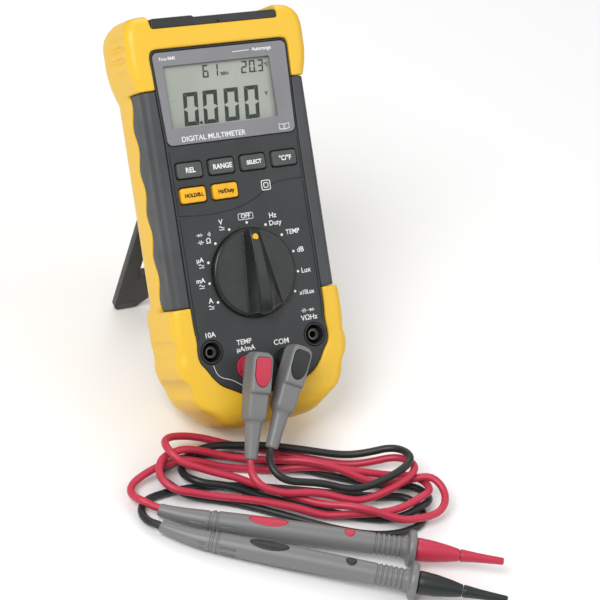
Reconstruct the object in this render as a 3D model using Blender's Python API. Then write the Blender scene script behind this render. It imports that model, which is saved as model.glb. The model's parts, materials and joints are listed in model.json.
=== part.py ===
"""Digital multimeter in a rubber holster, with a folding stand and a pair of test leads.

The meter is modelled upright in its own frame, in millimetres:
    x  to the right,
    n  into the meter, 0 on the front panel,
    u  up along the meter, 0 at the foot of the holster.
The frame is then leaned back onto its open stand, so that the heel of the holster
and the foot of the stand touch the table, which is the plane z = 0.
The test leads lie on the table in front of it.
"""

import math

import bmesh
import bpy
import numpy as np
from mathutils import Matrix, Vector

MM = 0.001

# ---------------------------------------------------------------- driving sizes, mm and degrees

GAP = 0.35                     # clearance between neighbouring pieces

# holster
BODY_LENGTH = 195.0            # foot to the tops of the ears
BODY_WIDTH = 92.0              # across the ears
BODY_DEPTH = 42.0              # panel plane to the back of the holster
WAIST_INSET = 4.0              # each side, between ears and bumper
BUMPER_INSET = 1.4             # each side, at the bottom bumper
RIM_HEIGHT = 1.0               # holster rim in front of the panel
HOLSTER_WALL = 2.0             # rubber over the back of the case
EAR_LENGTH = 35.1              # ears, down from the top
BUMPER_LENGTH = 59.4           # bumper, up from the foot

# side grips
GRIP_DEPTH = 15.4              # mean depth of the wavy rear edge
GRIP_WAVE = 1.3
GRIP_WAVES = 5.0

# panel and case
PANEL_INSET = 11.8             # from the ear outside to the panel edge
PANEL_THICK = 1.2
CASE_INSET = 10.4              # from the ear outside to the case outside
CASE_FOOT = 13.6               # case, up from the foot
CASE_HEAD = 9.0                # case, down from the top
CASE_CORNER = 8.0
CASE_WALL = 2.0
CASE_SPLIT = 19.0              # depth of the seam between the shells
BOSS_RADIUS = 3.6
BOSS_INSET_X = 5.1
BOSS_INSET_FOOT = 8.4
BOSS_INSET_HEAD = 5.0
SCREW_RADIUS = 1.3
SCREW_HEAD_RADIUS = 2.6
SCREW_HEAD_HEIGHT = 1.8

# display
LENS_TOP_MARGIN = 17.7         # from the top of the ears
LENS_HEIGHT = 43.2
LENS_HALF_TOP = 34.4
LENS_HALF_FOOT = 33.1
LENS_PROUD = 0.4
LENS_RIM = 1.2
LCD_HALF = 27.5
LCD_OFFSET = -2.4
LCD_HEIGHT = 29.0
LCD_TOP_MARGIN = 6.5           # from the lens top to the viewing window
LCD_BORDER = 2.0               # glass hidden behind the window edge
LCD_THICK = 2.8

# end bar between the ears
BAR_HALF = 32.3
BAR_TOP_MARGIN = 2.7
BAR_DEPTH = 24.0
BAR_LIP = 0.8
BAR_LIP_LENGTH = 21.0

# buttons
BUTTON_WIDTH = 12.6
BUTTON_HEIGHT = 7.0
BUTTON_CORNER = 1.4
BUTTON_PITCH = 16.4
BUTTON_ROWS = (12.0, 23.6)     # below the lens
BUTTON_PROUD = 1.4
BUTTON_TRAVEL = 1.2
BUTTON_BACK = 4.4
MAT_THICK = 1.3

# range switch
DIAL_HEIGHT = 70.9             # centre above the foot
DIAL_RADIUS = 21.0
DIAL_DISC = 2.6                # disc in front of the panel
DIAL_RIDGE = 6.4               # ridge in front of the disc
DIAL_RIDGE_HALF = 7.6          # half width of the ridge's foot at its broad end
DIAL_POINTER_HALF = 3.1        # and at its pointer end
DIAL_CREST_HALF = 1.8          # half width of the ridge's crest at the pointer
DIAL_CREST_SHARE = 0.25        # how far the crest widens with the foot
DIAL_SHAFT = 7.6
ROTOR_RADIUS = 16.5

# input jacks: name, x, u
JACK_RADIUS = 5.5
JACK_DEPTH = 15.0
JACK_GROOVE = 4.3
JACK_POST = 2.7
JACK_BORE = 2.2
JACKS = (
    ("jack_10a", -27.0, 37.5),
    ("jack_ma", -9.8, 28.0),
    ("jack_com", 9.8, 28.0),
    ("jack_volt", 27.0, 37.5),
)

# boards and small inner pieces
BOARD_FRONT = 9.0
BOARD_THICK = 1.6
FUSE_RADIUS = 3.2
FUSE_LENGTH = 30.0
BATTERY_WIDTH = 26.5
BATTERY_HEIGHT = 46.5
BATTERY_DEPTH = 17.0
BATTERY_FOOT = 40.0
DOOR_HALF = 18.0
DOOR_THICK = 0.9

# stand
STAND_HALF = 29.0
STAND_LENGTH = 89.8
STAND_THICK = 4.6
STAND_BAR = 7.8                # side bars
STAND_FOOT_BAR = 25.4          # solid part above the feet
STAND_FOOT_WIDTH = 12.3
STAND_ARCH = 6.5
STAND_OPEN = 51.9              # angle from the back when open
HINGE_HEIGHT = 118.2
HINGE_PIN = 0.9
HINGE_BITE = 1.7               # pin length inside each holster wall

# plugs, along their own frame: w across, d outwards from the panel, v down the body
PLUG_HALF = 5.2
PLUG_DEEP = 6.0                # half depth
PLUG_STAND_OFF = 5.3           # body in front of the panel
PLUG_TOP = 6.6                 # body above the pin
PLUG_STEP = 12.0               # step below the pin
PLUG_NECK = 25.0
PLUG_END = 43.0
PIN_RADIUS = 1.9
SHROUD_RADIUS = 5.0

# leads
CORD_RADIUS = 1.8
CORD_SPACING = 1.2             # free room kept between crossing runs
CORD_SLOPE = 0.34              # steepest climb where a run passes over another
CORD_POINTS = 80

# probes, along their axis from the cord end
BOOT_TAIL = 2.9
BOOT_LENGTH = 25.0
HANDLE_START = 4.8
HANDLE_MIDDLE = 5.3
HANDLE_LENGTH = 89.0
FLANGE_RADIUS = 8.6
FLANGE_THICK = 3.4
NOSE_LENGTH = 20.0
NOSE_RADIUS = 5.3
NOSE_TIP = 2.8
NEEDLE_RADIUS = 1.0
CAP_LENGTH = 20.0
CAP_RADIUS = 2.9
CAP_TIP = 1.6
NEEDLE_SHOWING = 19.0

# ---------------------------------------------------------------- sizes that follow

EAR_HALF = BODY_WIDTH / 2
WAIST_HALF = EAR_HALF - WAIST_INSET
BUMPER_HALF = EAR_HALF - BUMPER_INSET
PANEL_HALF = EAR_HALF - PANEL_INSET
CASE_HALF = EAR_HALF - CASE_INSET
CASE_TOP = BODY_LENGTH - CASE_HEAD
CASE_FRONT = PANEL_THICK + GAP
CASE_BACK = BODY_DEPTH - STAND_THICK - GAP - HOLSTER_WALL - 2 * GAP
FRONT_WALL_BACK = CASE_FRONT + 1.8
CAVITY_BACK = CASE_BACK + GAP
RECESS_FLOOR = CAVITY_BACK + HOLSTER_WALL
LENS_TOP = BODY_LENGTH - LENS_TOP_MARGIN
LENS_FOOT = LENS_TOP - LENS_HEIGHT
PANEL_TOP = LENS_TOP + LENS_RIM
LCD_TOP = LENS_TOP - LCD_TOP_MARGIN
LCD_ROOM = 0.5                 # room round the display in the case
LCD_FOOT = LCD_TOP - LCD_HEIGHT
LCD_FRONT = FRONT_WALL_BACK + GAP
BAR_TOP = BODY_LENGTH - BAR_TOP_MARGIN
BAR_FOOT = CASE_TOP + GAP
EAR_FOOT = BODY_LENGTH - EAR_LENGTH
MAT_FRONT = BUTTON_BACK + BUTTON_TRAVEL + GAP
HINGE_DEPTH = RECESS_FLOOR + GAP + STAND_THICK / 2
DIAL_CENTRE = (0.0, DIAL_HEIGHT)
BOSS_X = CASE_HALF - BOSS_INSET_X
BOSS_FOOT = CASE_FOOT + BOSS_INSET_FOOT
BOSS_HEAD = CASE_TOP - BOSS_INSET_HEAD
BOSSES = ((-BOSS_X, BOSS_FOOT), (BOSS_X, BOSS_FOOT), (-BOSS_X, BOSS_HEAD), (BOSS_X, BOSS_HEAD))
BATTERY_FRONT = CASE_BACK - CASE_WALL - GAP - BATTERY_DEPTH
BATTERY_TOP = BATTERY_FOOT + BATTERY_HEIGHT
DOOR_SCREW_HEIGHT = BATTERY_TOP + 7.0
BUTTONS = (
    ("button_rel", -1.5, 0, "grey"),
    ("button_range", -0.5, 0, "grey"),
    ("button_select", 0.5, 0, "grey"),
    ("button_unit", 1.5, 0, "grey"),
    ("button_hold", -1.5, 1, "yellow"),
    ("button_freq", -0.5, 1, "yellow"),
)

# holster outline from the foot up: height, half width, front depth, back depth
FOOT_STATIONS = (
    (0.0, BUMPER_HALF - 27.5, 9.0, BODY_DEPTH - 9.0),
    (1.0, BUMPER_HALF - 22.5, 6.0, BODY_DEPTH - 6.0),
    (3.0, BUMPER_HALF - 19.0, 3.0, BODY_DEPTH - 3.5),
    (6.0, BUMPER_HALF - 16.0, 0.6, BODY_DEPTH - 1.5),
    (9.0, BUMPER_HALF - 12.2, -0.5, BODY_DEPTH - 0.5),
    (12.0, BUMPER_HALF - 8.2, -RIM_HEIGHT, BODY_DEPTH),
    (17.0, BUMPER_HALF - 5.2, -RIM_HEIGHT, BODY_DEPTH),
    (21.0, BUMPER_HALF - 4.0, -RIM_HEIGHT, BODY_DEPTH),
    (27.0, BUMPER_HALF - 1.3, -RIM_HEIGHT, BODY_DEPTH),
    (33.0, BUMPER_HALF, -RIM_HEIGHT, BODY_DEPTH),
    (38.0, BUMPER_HALF - 0.7, -RIM_HEIGHT, BODY_DEPTH),
    (45.0, BUMPER_HALF, -RIM_HEIGHT, BODY_DEPTH),
    (53.0, BUMPER_HALF, -RIM_HEIGHT, BODY_DEPTH),
    (BUMPER_LENGTH, BUMPER_HALF - 0.6, -RIM_HEIGHT, BODY_DEPTH),
    (BUMPER_LENGTH + 2.0, WAIST_HALF, -RIM_HEIGHT, BODY_DEPTH),
)
# and from the top down
HEAD_STATIONS = (
    (EAR_LENGTH + 3.0, WAIST_HALF, -RIM_HEIGHT, BODY_DEPTH),
    (EAR_LENGTH - 1.0, WAIST_HALF + 1.2, -RIM_HEIGHT, BODY_DEPTH),
    (27.0, EAR_HALF - 0.8, -RIM_HEIGHT, BODY_DEPTH),
    (20.0, EAR_HALF, -RIM_HEIGHT, BODY_DEPTH),
    (12.0, EAR_HALF, -RIM_HEIGHT, BODY_DEPTH),
    (7.0, EAR_HALF - 0.6, -0.5, BODY_DEPTH - 1.0),
    (3.0, EAR_HALF - 2.6, 0.8, BODY_DEPTH - 3.5),
    (0.8, EAR_HALF - 5.2, 3.0, BODY_DEPTH - 6.5),
    (0.0, EAR_HALF - 8.0, 5.5, BODY_DEPTH - 9.0),
)


# ---------------------------------------------------------------- helpers

def clear_scene():
    for item in list(bpy.data.objects):
        bpy.data.objects.remove(item, do_unlink=True)


def finish(name, colour, roughness, metallic=0.0):
    """A Principled material, shared by the pieces that ask for the same name."""
    found = bpy.data.materials.get(name)
    if found:
        return found
    made = bpy.data.materials.new(name)
    made.use_nodes = True
    shader = made.node_tree.nodes["Principled BSDF"]
    shader.inputs["Base Color"].default_value = (*colour, 1.0)
    shader.inputs["Roughness"].default_value = roughness
    shader.inputs["Metallic"].default_value = metallic
    return made


def yellow_rubber():
    return finish("yellow_rubber", (0.90, 0.50, 0.02), 0.55)


def dark_plastic():
    return finish("dark_plastic", (0.075, 0.08, 0.085), 0.5)


def grey_plastic():
    return finish("grey_plastic", (0.20, 0.20, 0.20), 0.5)


def black_plastic():
    return finish("black_plastic", (0.02, 0.021, 0.022), 0.45)


def red_plastic():
    return finish("red_plastic", (0.62, 0.03, 0.06), 0.45)


def bright_metal():
    return finish("bright_metal", (0.75, 0.74, 0.70), 0.25, 1.0)


def add_piece(name, points, faces, look, parent=None, smooth=None, origin=(0, 0, 0), turn=None):
    """One closed body. Points are in mm from origin, in the parent's frame turned by turn."""
    mesh = bpy.data.meshes.new(name)
    mesh.from_pydata([Vector(point) * MM for point in points], [], faces)
    body = bmesh.new()
    body.from_mesh(mesh)
    bmesh.ops.recalc_face_normals(body, faces=body.faces)
    body.to_mesh(mesh)
    body.free()
    if smooth is not None:
        mesh.shade_smooth()
        mesh.set_sharp_from_angle(angle=math.radians(smooth))
    mesh.materials.append(look)
    piece = bpy.data.objects.new(name, mesh)
    bpy.context.scene.collection.objects.link(piece)
    piece.parent = parent
    rotation = turn.to_4x4() if turn else Matrix.Identity(4)
    piece.matrix_basis = Matrix.Translation(Vector(origin) * MM) @ rotation
    return piece


def loft_shape(sections):
    """Points and faces of a closed body through rings of equal count."""
    count = len(sections[0])
    points = [point for section in sections for point in section]
    faces = [list(range(count))]
    for ring in range(len(sections) - 1):
        for step in range(count):
            after = (step + 1) % count
            low = ring * count
            faces.append([low + step, low + after, low + count + after, low + count + step])
    last = (len(sections) - 1) * count
    faces.append([last + step for step in reversed(range(count))])
    return points, faces


def arc(centre, radius, start, stop, steps):
    """Points of an arc, angles in degrees, both ends included."""
    angles = [math.radians(start + (stop - start) * i / steps) for i in range(steps + 1)]
    if isinstance(radius, tuple):
        across, along = radius
    else:
        across = along = radius
    return [(centre[0] + across * math.cos(a), centre[1] + along * math.sin(a)) for a in angles]


def circle(centre, radius, steps=32):
    return arc(centre, radius, 0.0, 360.0, steps)[:-1]


def rounded_box(left, right, foot, top, radius, steps=4):
    """Rounded rectangle outline, counter-clockwise."""
    outline = []
    outline += arc((right - radius, foot + radius), radius, -90, 0, steps)
    outline += arc((right - radius, top - radius), radius, 0, 90, steps)
    outline += arc((left + radius, top - radius), radius, 90, 180, steps)
    outline += arc((left + radius, foot + radius), radius, 180, 270, steps)
    return outline


def mirrored(half):
    """Whole outline from its right half, given from the foot up; x = 0 ends aren't doubled."""
    left = [(-x, u) for x, u in reversed(half) if x > 1e-6]
    return list(half) + left


def prism(name, outline, front, back, look, parent, chamfer=0.0, **place):
    """Outline in (x, u) carried from depth front to depth back, with a chamfered front edge."""
    sections = []
    if chamfer:
        inner = offset_outline(outline, -chamfer)
        sections.append([(x, front, u) for x, u in inner])
        sections.append([(x, front + chamfer, u) for x, u in outline])
    else:
        sections.append([(x, front, u) for x, u in outline])
    sections.append([(x, back, u) for x, u in outline])
    points, faces = loft_shape(sections)
    return add_piece(name, points, faces, look, parent, **place)


def offset_outline(outline, distance):
    """Counter-clockwise outline moved outwards by distance, with mitred corners."""
    moved = []
    count = len(outline)
    for i in range(count):
        before = Vector(outline[i - 1])
        here = Vector(outline[i])
        after = Vector(outline[(i + 1) % count])
        first = (here - before).normalized()
        second = (after - here).normalized()
        normal = Vector((first.y + second.y, -first.x - second.x)).normalized()
        lean = max(0.5, normal.dot(Vector((first.y, -first.x))))
        moved.append(tuple(here + normal * (distance / lean)))
    return moved


def turned_shape(profile, steps):
    """Body of revolution about +Z from (height, radius) pairs, closed on the axis or round."""
    points = []
    rings = []
    for height, radius in profile:
        if radius < 1e-6:
            rings.append([len(points)])
            points.append((0.0, 0.0, height))
        else:
            rings.append([len(points) + i for i in range(steps)])
            for i in range(steps):
                angle = 2 * math.pi * i / steps
                points.append((radius * math.cos(angle), radius * math.sin(angle), height))
    faces = []
    closed = profile[0][1] > 1e-6
    pairs = list(zip(rings, rings[1:]))
    if closed:
        pairs.append((rings[-1], rings[0]))
    for first, second in pairs:
        if len(first) == 1 and len(second) == 1:
            continue
        for i in range(steps):
            after = (i + 1) % steps
            if len(first) == 1:
                faces.append([first[0], second[i], second[after]])
            elif len(second) == 1:
                faces.append([first[i], second[0], first[after]])
            else:
                faces.append([first[i], second[i], second[after], first[after]])
    return points, faces


INWARD = Matrix.Rotation(math.radians(-90), 3, "X")   # local Z points into the meter


def turned(name, profile, look, parent, origin, turn=INWARD, steps=24, smooth=35):
    points, faces = turned_shape(profile, steps)
    return add_piece(name, points, faces, look, parent, smooth, origin, turn)


def combine(piece, tool, operation):
    change = piece.modifiers.new(tool.name, "BOOLEAN")
    change.operation = operation
    change.solver = "EXACT"
    change.object = tool
    tool.hide_render = True
    tool.display_type = "WIRE"


def cut(piece, tool):
    combine(piece, tool, "DIFFERENCE")


def join(piece, tool):
    combine(piece, tool, "UNION")


def cut_prism(piece, outline, front, back, parent):
    label = piece.name + "_cut"
    cut(piece, prism(label, outline, front, back, black_plastic(), parent))


def cut_round(piece, centre, radius, front, back, parent, steps=24):
    cut_prism(piece, circle(centre, radius, steps), front, back, parent)


def box_outline(left, right, foot, top):
    return [(left, foot), (right, foot), (right, top), (left, top)]


# ---------------------------------------------------------------- outlines

def panel_edge(height):
    """Half width of the panel: it widens beside the lens, which it frames."""
    rise = max(0.0, min(1.0, (height - LENS_FOOT) / LENS_HEIGHT))
    return PANEL_HALF + rise * (LENS_HALF_TOP + LENS_RIM - PANEL_HALF)


def panel_outline():
    """The panel narrows in shallow scallops below the outer jacks."""
    half = [
        (0.0, 14.8),
        (PANEL_HALF - 20.2, 15.8),
        (PANEL_HALF - 14.8, 18.8),
        (PANEL_HALF - 9.8, 21.4),
        (PANEL_HALF - 6.0, 25.6),
        (PANEL_HALF - 3.6, 29.8),
        (PANEL_HALF - 0.6, 33.6),
        (PANEL_HALF - 0.2, 37.4),
        (PANEL_HALF - 0.7, 43.3),
        (PANEL_HALF - 0.1, 51.2),
        (PANEL_HALF, BUMPER_LENGTH),
        (PANEL_HALF, LENS_FOOT),
        (panel_edge(PANEL_TOP - 3.0), PANEL_TOP - 3.0),
        (panel_edge(PANEL_TOP) - 0.7, PANEL_TOP - 0.8),
        (panel_edge(PANEL_TOP) - 2.8, PANEL_TOP),
        (0.0, PANEL_TOP),
    ]
    return mirrored(half)


def case_outline():
    return rounded_box(-CASE_HALF, CASE_HALF, CASE_FOOT, CASE_TOP, CASE_CORNER)


def lens_outline():
    corner = 1.6
    half = [
        (0.0, LENS_FOOT),
        (LENS_HALF_FOOT - corner, LENS_FOOT),
        (LENS_HALF_FOOT, LENS_FOOT + corner),
        (LENS_HALF_TOP, LENS_TOP - corner),
        (LENS_HALF_TOP - corner, LENS_TOP),
        (0.0, LENS_TOP),
    ]
    return mirrored(half)


def button_outline(column, row, clearance=0.0):
    centre = column * BUTTON_PITCH
    height = LENS_FOOT - BUTTON_ROWS[row]
    half = BUTTON_WIDTH / 2 + clearance
    tall = BUTTON_HEIGHT / 2 + clearance
    return rounded_box(centre - half, centre + half, height - tall, height + tall, BUTTON_CORNER, 3)


def wave(height):
    """Depth of the wavy rear edge of a side grip."""
    share = (height - BUMPER_LENGTH) / (EAR_FOOT - BUMPER_LENGTH)
    return GRIP_DEPTH + GRIP_WAVE * math.sin(2 * math.pi * GRIP_WAVES * share)


# ---------------------------------------------------------------- holster, grips and stand

def holster_section(height, half, front, back):
    """Ring round the holster at one height: tight front corners, full round back corners."""
    tight = min(4.5, half * 0.3)
    across = min(13.0, half * 0.6)
    deep = min(18.0, (back - front) * 0.5)
    right = arc((half - tight, front + tight), tight, -90, 0, 3)
    right += arc((half - across, back - deep), (across, deep), 0, 90, 6)
    left = [(-x, n) for x, n in reversed(right)]
    return [(x, n, height) for x, n in right + left]


def holster_stations():
    rows = list(FOOT_STATIONS)
    rows += [(BODY_LENGTH - down, half, front, back) for down, half, front, back in HEAD_STATIONS]
    return rows


def grip_cutter(parent):
    """Everything in front of the wavy line between bumper and ears."""
    count = 40
    low = BUMPER_LENGTH - GAP
    high = EAR_FOOT + GAP
    line = [(-12.0, high), (-12.0, low)]
    for step in range(count + 1):
        height = low + (high - low) * step / count
        line.append((wave(height) + GAP, height))
    wide = EAR_HALF + 10.0
    sections = [[(x, n, u) for n, u in line] for x in (-wide, wide)]
    points, faces = loft_shape(sections)
    return add_piece("holster_grip_cut", points, faces, black_plastic(), parent)


def make_holster(parent):
    sections = [holster_section(*row) for row in holster_stations()]
    points, faces = loft_shape(sections)
    holster = add_piece("holster", points, faces, yellow_rubber(), parent, smooth=40)
    cut_prism(holster, offset_outline(case_outline(), GAP), CASE_FRONT - GAP, CAVITY_BACK, parent)
    cut_prism(holster, offset_outline(panel_outline(), GAP), -12.0, CASE_FRONT + 4.0, parent)
    cut(holster, grip_cutter(parent))
    slot = BAR_HALF + GAP
    top = BODY_LENGTH + 10.0
    cut_prism(holster, box_outline(-slot, slot, CASE_TOP - 1.0, top), CASE_FRONT, BAR_DEPTH + GAP, parent)
    cut_prism(holster, box_outline(-slot, slot, BAR_FOOT + 2.0, top), -12.0, CASE_FRONT + 1.0, parent)
    side = STAND_HALF + 2 * GAP
    low = HINGE_HEIGHT - STAND_LENGTH - 4 * GAP
    recess = box_outline(-side, side, low, HINGE_HEIGHT + STAND_THICK / 2 + 2 * GAP)
    cut_prism(holster, recess, RECESS_FLOOR, BODY_DEPTH + 10.0, parent)
    window = box_outline(-DOOR_HALF - 1, DOOR_HALF + 1, BATTERY_FOOT - 6, BATTERY_TOP + 12)
    cut_prism(holster, window, CAVITY_BACK - 1.0, RECESS_FLOOR + 1.0, parent)
    reach = side + HINGE_BITE + GAP
    hole = turned("holster_pin_cut", [(-reach, 0), (-reach, HINGE_PIN + GAP), (reach, HINGE_PIN + GAP),
                  (reach, 0)], black_plastic(), parent, (0, HINGE_DEPTH, HINGE_HEIGHT),
                  Matrix.Rotation(math.radians(90), 3, "Y"), 16)
    cut(holster, hole)
    return holster


def make_grip(name, side, parent):
    """L-shaped strip: a front face beside the panel and a side face with a wavy rear edge."""
    count = 30
    low = BUMPER_LENGTH
    high = EAR_FOOT
    sections = []
    for step in range(count + 1):
        height = low + (high - low) * step / count
        inner = panel_edge(height) + GAP
        wall = CASE_HALF + GAP
        end = wave(height)
        ring = [
            (inner, 0.0), (WAIST_HALF - 3.8, 0.0), (WAIST_HALF - 1.4, 1.0), (WAIST_HALF - 0.3, 3.2),
            (WAIST_HALF, 7.0), (WAIST_HALF, end), (wall, end), (wall, PANEL_THICK), (inner, PANEL_THICK),
        ]
        sections.append([(side * x, n, height) for x, n in ring])
    points, faces = loft_shape(sections)
    return add_piece(name, points, faces, dark_plastic(), parent, smooth=40)


def make_stand(parent):
    """Framed plate with two feet, open behind the meter; its origin is on the hinge axis."""
    foot = -STAND_LENGTH
    inner = STAND_HALF - STAND_FOOT_WIDTH
    half = [
        (0.0, foot + STAND_ARCH),
        (inner - STAND_ARCH, foot + STAND_ARCH),
        (inner, foot),
        (STAND_HALF - 1.5, foot),
        (STAND_HALF, foot + 1.5),
        (STAND_HALF, 0.0),
        (0.0, 0.0),
    ]
    turn = Matrix.Rotation(math.radians(STAND_OPEN), 3, "X")
    origin = (0, HINGE_DEPTH, HINGE_HEIGHT)
    half_thick = STAND_THICK / 2
    outline = mirrored(half)
    outline = [p for i, p in enumerate(outline) if p != outline[i - 1]]
    place = {"origin": origin, "turn": turn}
    stand = prism("kickstand", outline, -half_thick, half_thick, dark_plastic(), parent, **place)
    barrel = turned("kickstand_barrel", [(-STAND_HALF + 0.2, 0), (-STAND_HALF + 0.2, half_thick),
                    (STAND_HALF - 0.2, half_thick), (STAND_HALF - 0.2, 0)], dark_plastic(), parent,
                    origin, Matrix.Rotation(math.radians(90), 3, "Y"), 24)
    join(stand, barrel)
    opening = box_outline(STAND_BAR - STAND_HALF, STAND_HALF - STAND_BAR,
                          foot + STAND_FOOT_BAR, -14.0)
    cut(stand, prism("kickstand_window", opening, -9, 9, dark_plastic(), parent, **place))
    bore = turned("kickstand_bore", [(-STAND_HALF - 2, 0), (-STAND_HALF - 2, HINGE_PIN + GAP),
                  (STAND_HALF + 2, HINGE_PIN + GAP), (STAND_HALF + 2, 0)], dark_plastic(), parent,
                  origin, Matrix.Rotation(math.radians(90), 3, "Y"), 16)
    cut(stand, bore)
    reach = STAND_HALF + 2 * GAP + HINGE_BITE
    turned("kickstand_pin", [(-reach, 0), (-reach, HINGE_PIN), (reach, HINGE_PIN), (reach, 0)],
           bright_metal(), parent, origin, Matrix.Rotation(math.radians(90), 3, "Y"), 12)
    return stand


# ---------------------------------------------------------------- case and panel

def make_case(parent):
    shell = case_outline()
    inside = offset_outline(shell, -CASE_WALL)
    front = prism("front_case", shell, CASE_FRONT, CASE_SPLIT - GAP / 2, dark_plastic(), parent)
    cut_prism(front, inside, FRONT_WALL_BACK, CASE_SPLIT + 5, parent)
    left = LCD_OFFSET - LCD_HALF - LCD_ROOM
    window = box_outline(left, LCD_OFFSET + LCD_HALF + LCD_ROOM, LCD_FOOT - LCD_ROOM, LCD_TOP + LCD_ROOM)
    cut_prism(front, window, -5, FRONT_WALL_BACK + 2, parent)
    open_face(front, parent, -5, FRONT_WALL_BACK + 2)
    for place in BOSSES:
        boss = prism("front_boss", circle(place, BOSS_RADIUS, 20), FRONT_WALL_BACK - 0.5,
                     CASE_SPLIT - GAP / 2 - 0.4, dark_plastic(), parent)
        join(front, boss)
    for place in BOSSES:
        cut_round(front, place, SCREW_RADIUS + GAP, FRONT_WALL_BACK + 5, CASE_SPLIT + 5, parent, 16)

    rear = prism("rear_case", shell, CASE_SPLIT + GAP / 2, CASE_BACK, dark_plastic(), parent)
    cut_prism(rear, inside, CASE_SPLIT - 5, CASE_BACK - CASE_WALL, parent)
    for place in BOSSES:
        boss = prism("rear_boss", circle(place, BOSS_RADIUS, 20), CASE_SPLIT + GAP / 2 + 0.4,
                     CASE_BACK - 0.5, dark_plastic(), parent)
        join(rear, boss)
    tab = (0.0, DOOR_SCREW_HEIGHT)
    join(rear, prism("door_boss", circle(tab, 3.4, 20), CASE_SPLIT + 6, CASE_BACK - 0.5,
                     dark_plastic(), parent))
    for place in BOSSES:
        cut_round(rear, place, SCREW_RADIUS + GAP, CASE_SPLIT - 5, CASE_BACK + 5, parent, 16)
        cut_round(rear, place, SCREW_HEAD_RADIUS + GAP, CASE_BACK - SCREW_HEAD_HEIGHT - 2 * GAP,
                  CASE_BACK + 5, parent, 20)
    seat = door_outline(GAP)
    cut_prism(rear, seat, CASE_BACK - DOOR_THICK - GAP, CASE_BACK + 5, parent)
    half = BATTERY_WIDTH / 2 + 1.0
    hole = box_outline(-half, half, BATTERY_FOOT - 1.0, BATTERY_TOP + 1.0)
    cut_prism(rear, hole, CASE_BACK - CASE_WALL - 3, CASE_BACK, parent)
    cut_round(rear, tab, 1.0 + GAP, CASE_SPLIT + 9, CASE_BACK + 5, parent, 16)

    for number, (x, u) in enumerate(BOSSES, 1):
        head = CASE_BACK - GAP
        turned(f"case_screw_{number}", screw_profile(head, SCREW_HEAD_HEIGHT, SCREW_HEAD_RADIUS,
               SCREW_RADIUS, CASE_SPLIT - 9.0), bright_metal(), parent, (x, 0, u), steps=16)
    return front, rear


def screw_profile(head, thick, head_radius, shaft_radius, tip):
    """Screw seen from its tip: pointed shaft, then the head with a drive recess."""
    neck = head - thick
    return [
        (tip, 0), (tip + 1.5, shaft_radius), (neck, shaft_radius), (neck, head_radius),
        (head - 0.3, head_radius), (head, head_radius - 0.4), (head, 1.1), (head - 0.9, 0),
    ]


def door_outline(clearance=0.0):
    return rounded_box(-DOOR_HALF - clearance, DOOR_HALF + clearance, BATTERY_FOOT - 4 - clearance,
                       BATTERY_TOP + 11 + clearance, 2.5, 3)


def open_face(piece, parent, front, back):
    """Openings that the panel and the front shell share: buttons, dial shaft and jacks."""
    for name, column, row, colour in BUTTONS:
        cut_prism(piece, button_outline(column, row, GAP), front, back, parent)
    cut_round(piece, DIAL_CENTRE, DIAL_SHAFT + 2 * GAP, front, back, parent)
    for name, x, u in JACKS:
        cut_round(piece, (x, u), JACK_RADIUS + GAP, front, back, parent)


def make_panel(parent):
    panel = prism("face_panel", panel_outline(), 0.0, PANEL_THICK, dark_plastic(), parent)
    cut_prism(panel, offset_outline(lens_outline(), GAP), -5, 5, parent)
    open_face(panel, parent, -5, 5)
    return panel


def make_display(parent):
    lens_look = finish("lens", (0.30, 0.29, 0.34), 0.12)
    prism("display_lens", lens_outline(), -LENS_PROUD, PANEL_THICK, lens_look, parent, chamfer=0.3)
    glass_look = finish("lcd", (0.42, 0.45, 0.38), 0.25)
    left = LCD_OFFSET - LCD_HALF - LCD_BORDER
    right = LCD_OFFSET + LCD_HALF + LCD_BORDER
    back = LCD_FRONT + LCD_THICK
    glass = box_outline(left, right, LCD_FOOT - LCD_BORDER, LCD_TOP + LCD_BORDER)
    prism("lcd_glass", glass, LCD_FRONT, back, glass_look, parent, chamfer=0.4)
    strip_look = finish("contact_rubber", (0.5, 0.2, 0.25), 0.7)
    strip = box_outline(left + 2, right - 2, LCD_FOOT - 1.5, LCD_FOOT + 1.5)
    prism("lcd_connector_strip", strip, back + GAP, BOARD_FRONT - GAP, strip_look, parent)


def make_end_bar(parent):
    half = BAR_HALF
    lip = BAR_TOP + BAR_LIP
    outline = [
        (-half, BAR_FOOT), (half, BAR_FOOT), (half, BAR_TOP - 0.8), (half - 0.8, BAR_TOP),
        (BAR_LIP_LENGTH - half + 0.8, BAR_TOP), (BAR_LIP_LENGTH - half, lip), (-half, lip),
    ]
    bar = prism("end_bar", outline, 0.0, BAR_DEPTH, dark_plastic(), parent)
    low = box_outline(-half - 5, half + 5, BAR_FOOT - 5, BAR_FOOT + 2.0 + GAP)
    cut_prism(bar, low, -5, CASE_FRONT + 1.0 + GAP, parent)
    return bar


def make_controls(parent):
    looks = {
        "grey": grey_plastic(),
        "yellow": yellow_rubber(),
    }
    for name, column, row, colour in BUTTONS:
        centre = (column * BUTTON_PITCH, 0.0, LENS_FOOT - BUTTON_ROWS[row])
        outline = [(x - centre[0], u - centre[2]) for x, u in button_outline(column, row)]
        prism(name, outline, -BUTTON_PROUD, BUTTON_BACK, looks[colour], parent, chamfer=0.6,
              smooth=50, origin=centre)
    mat_look = finish("mat_rubber", (0.55, 0.56, 0.55), 0.8)
    reach = 1.5 * BUTTON_PITCH + BUTTON_WIDTH / 2
    low = LENS_FOOT - BUTTON_ROWS[1] - BUTTON_HEIGHT / 2
    high = LENS_FOOT - BUTTON_ROWS[0] + BUTTON_HEIGHT / 2
    prism("keypad_mat", rounded_box(-reach, reach, low, high, 2.0, 2), MAT_FRONT,
          MAT_FRONT + MAT_THICK, mat_look, parent)
    make_dial(parent)


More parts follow.
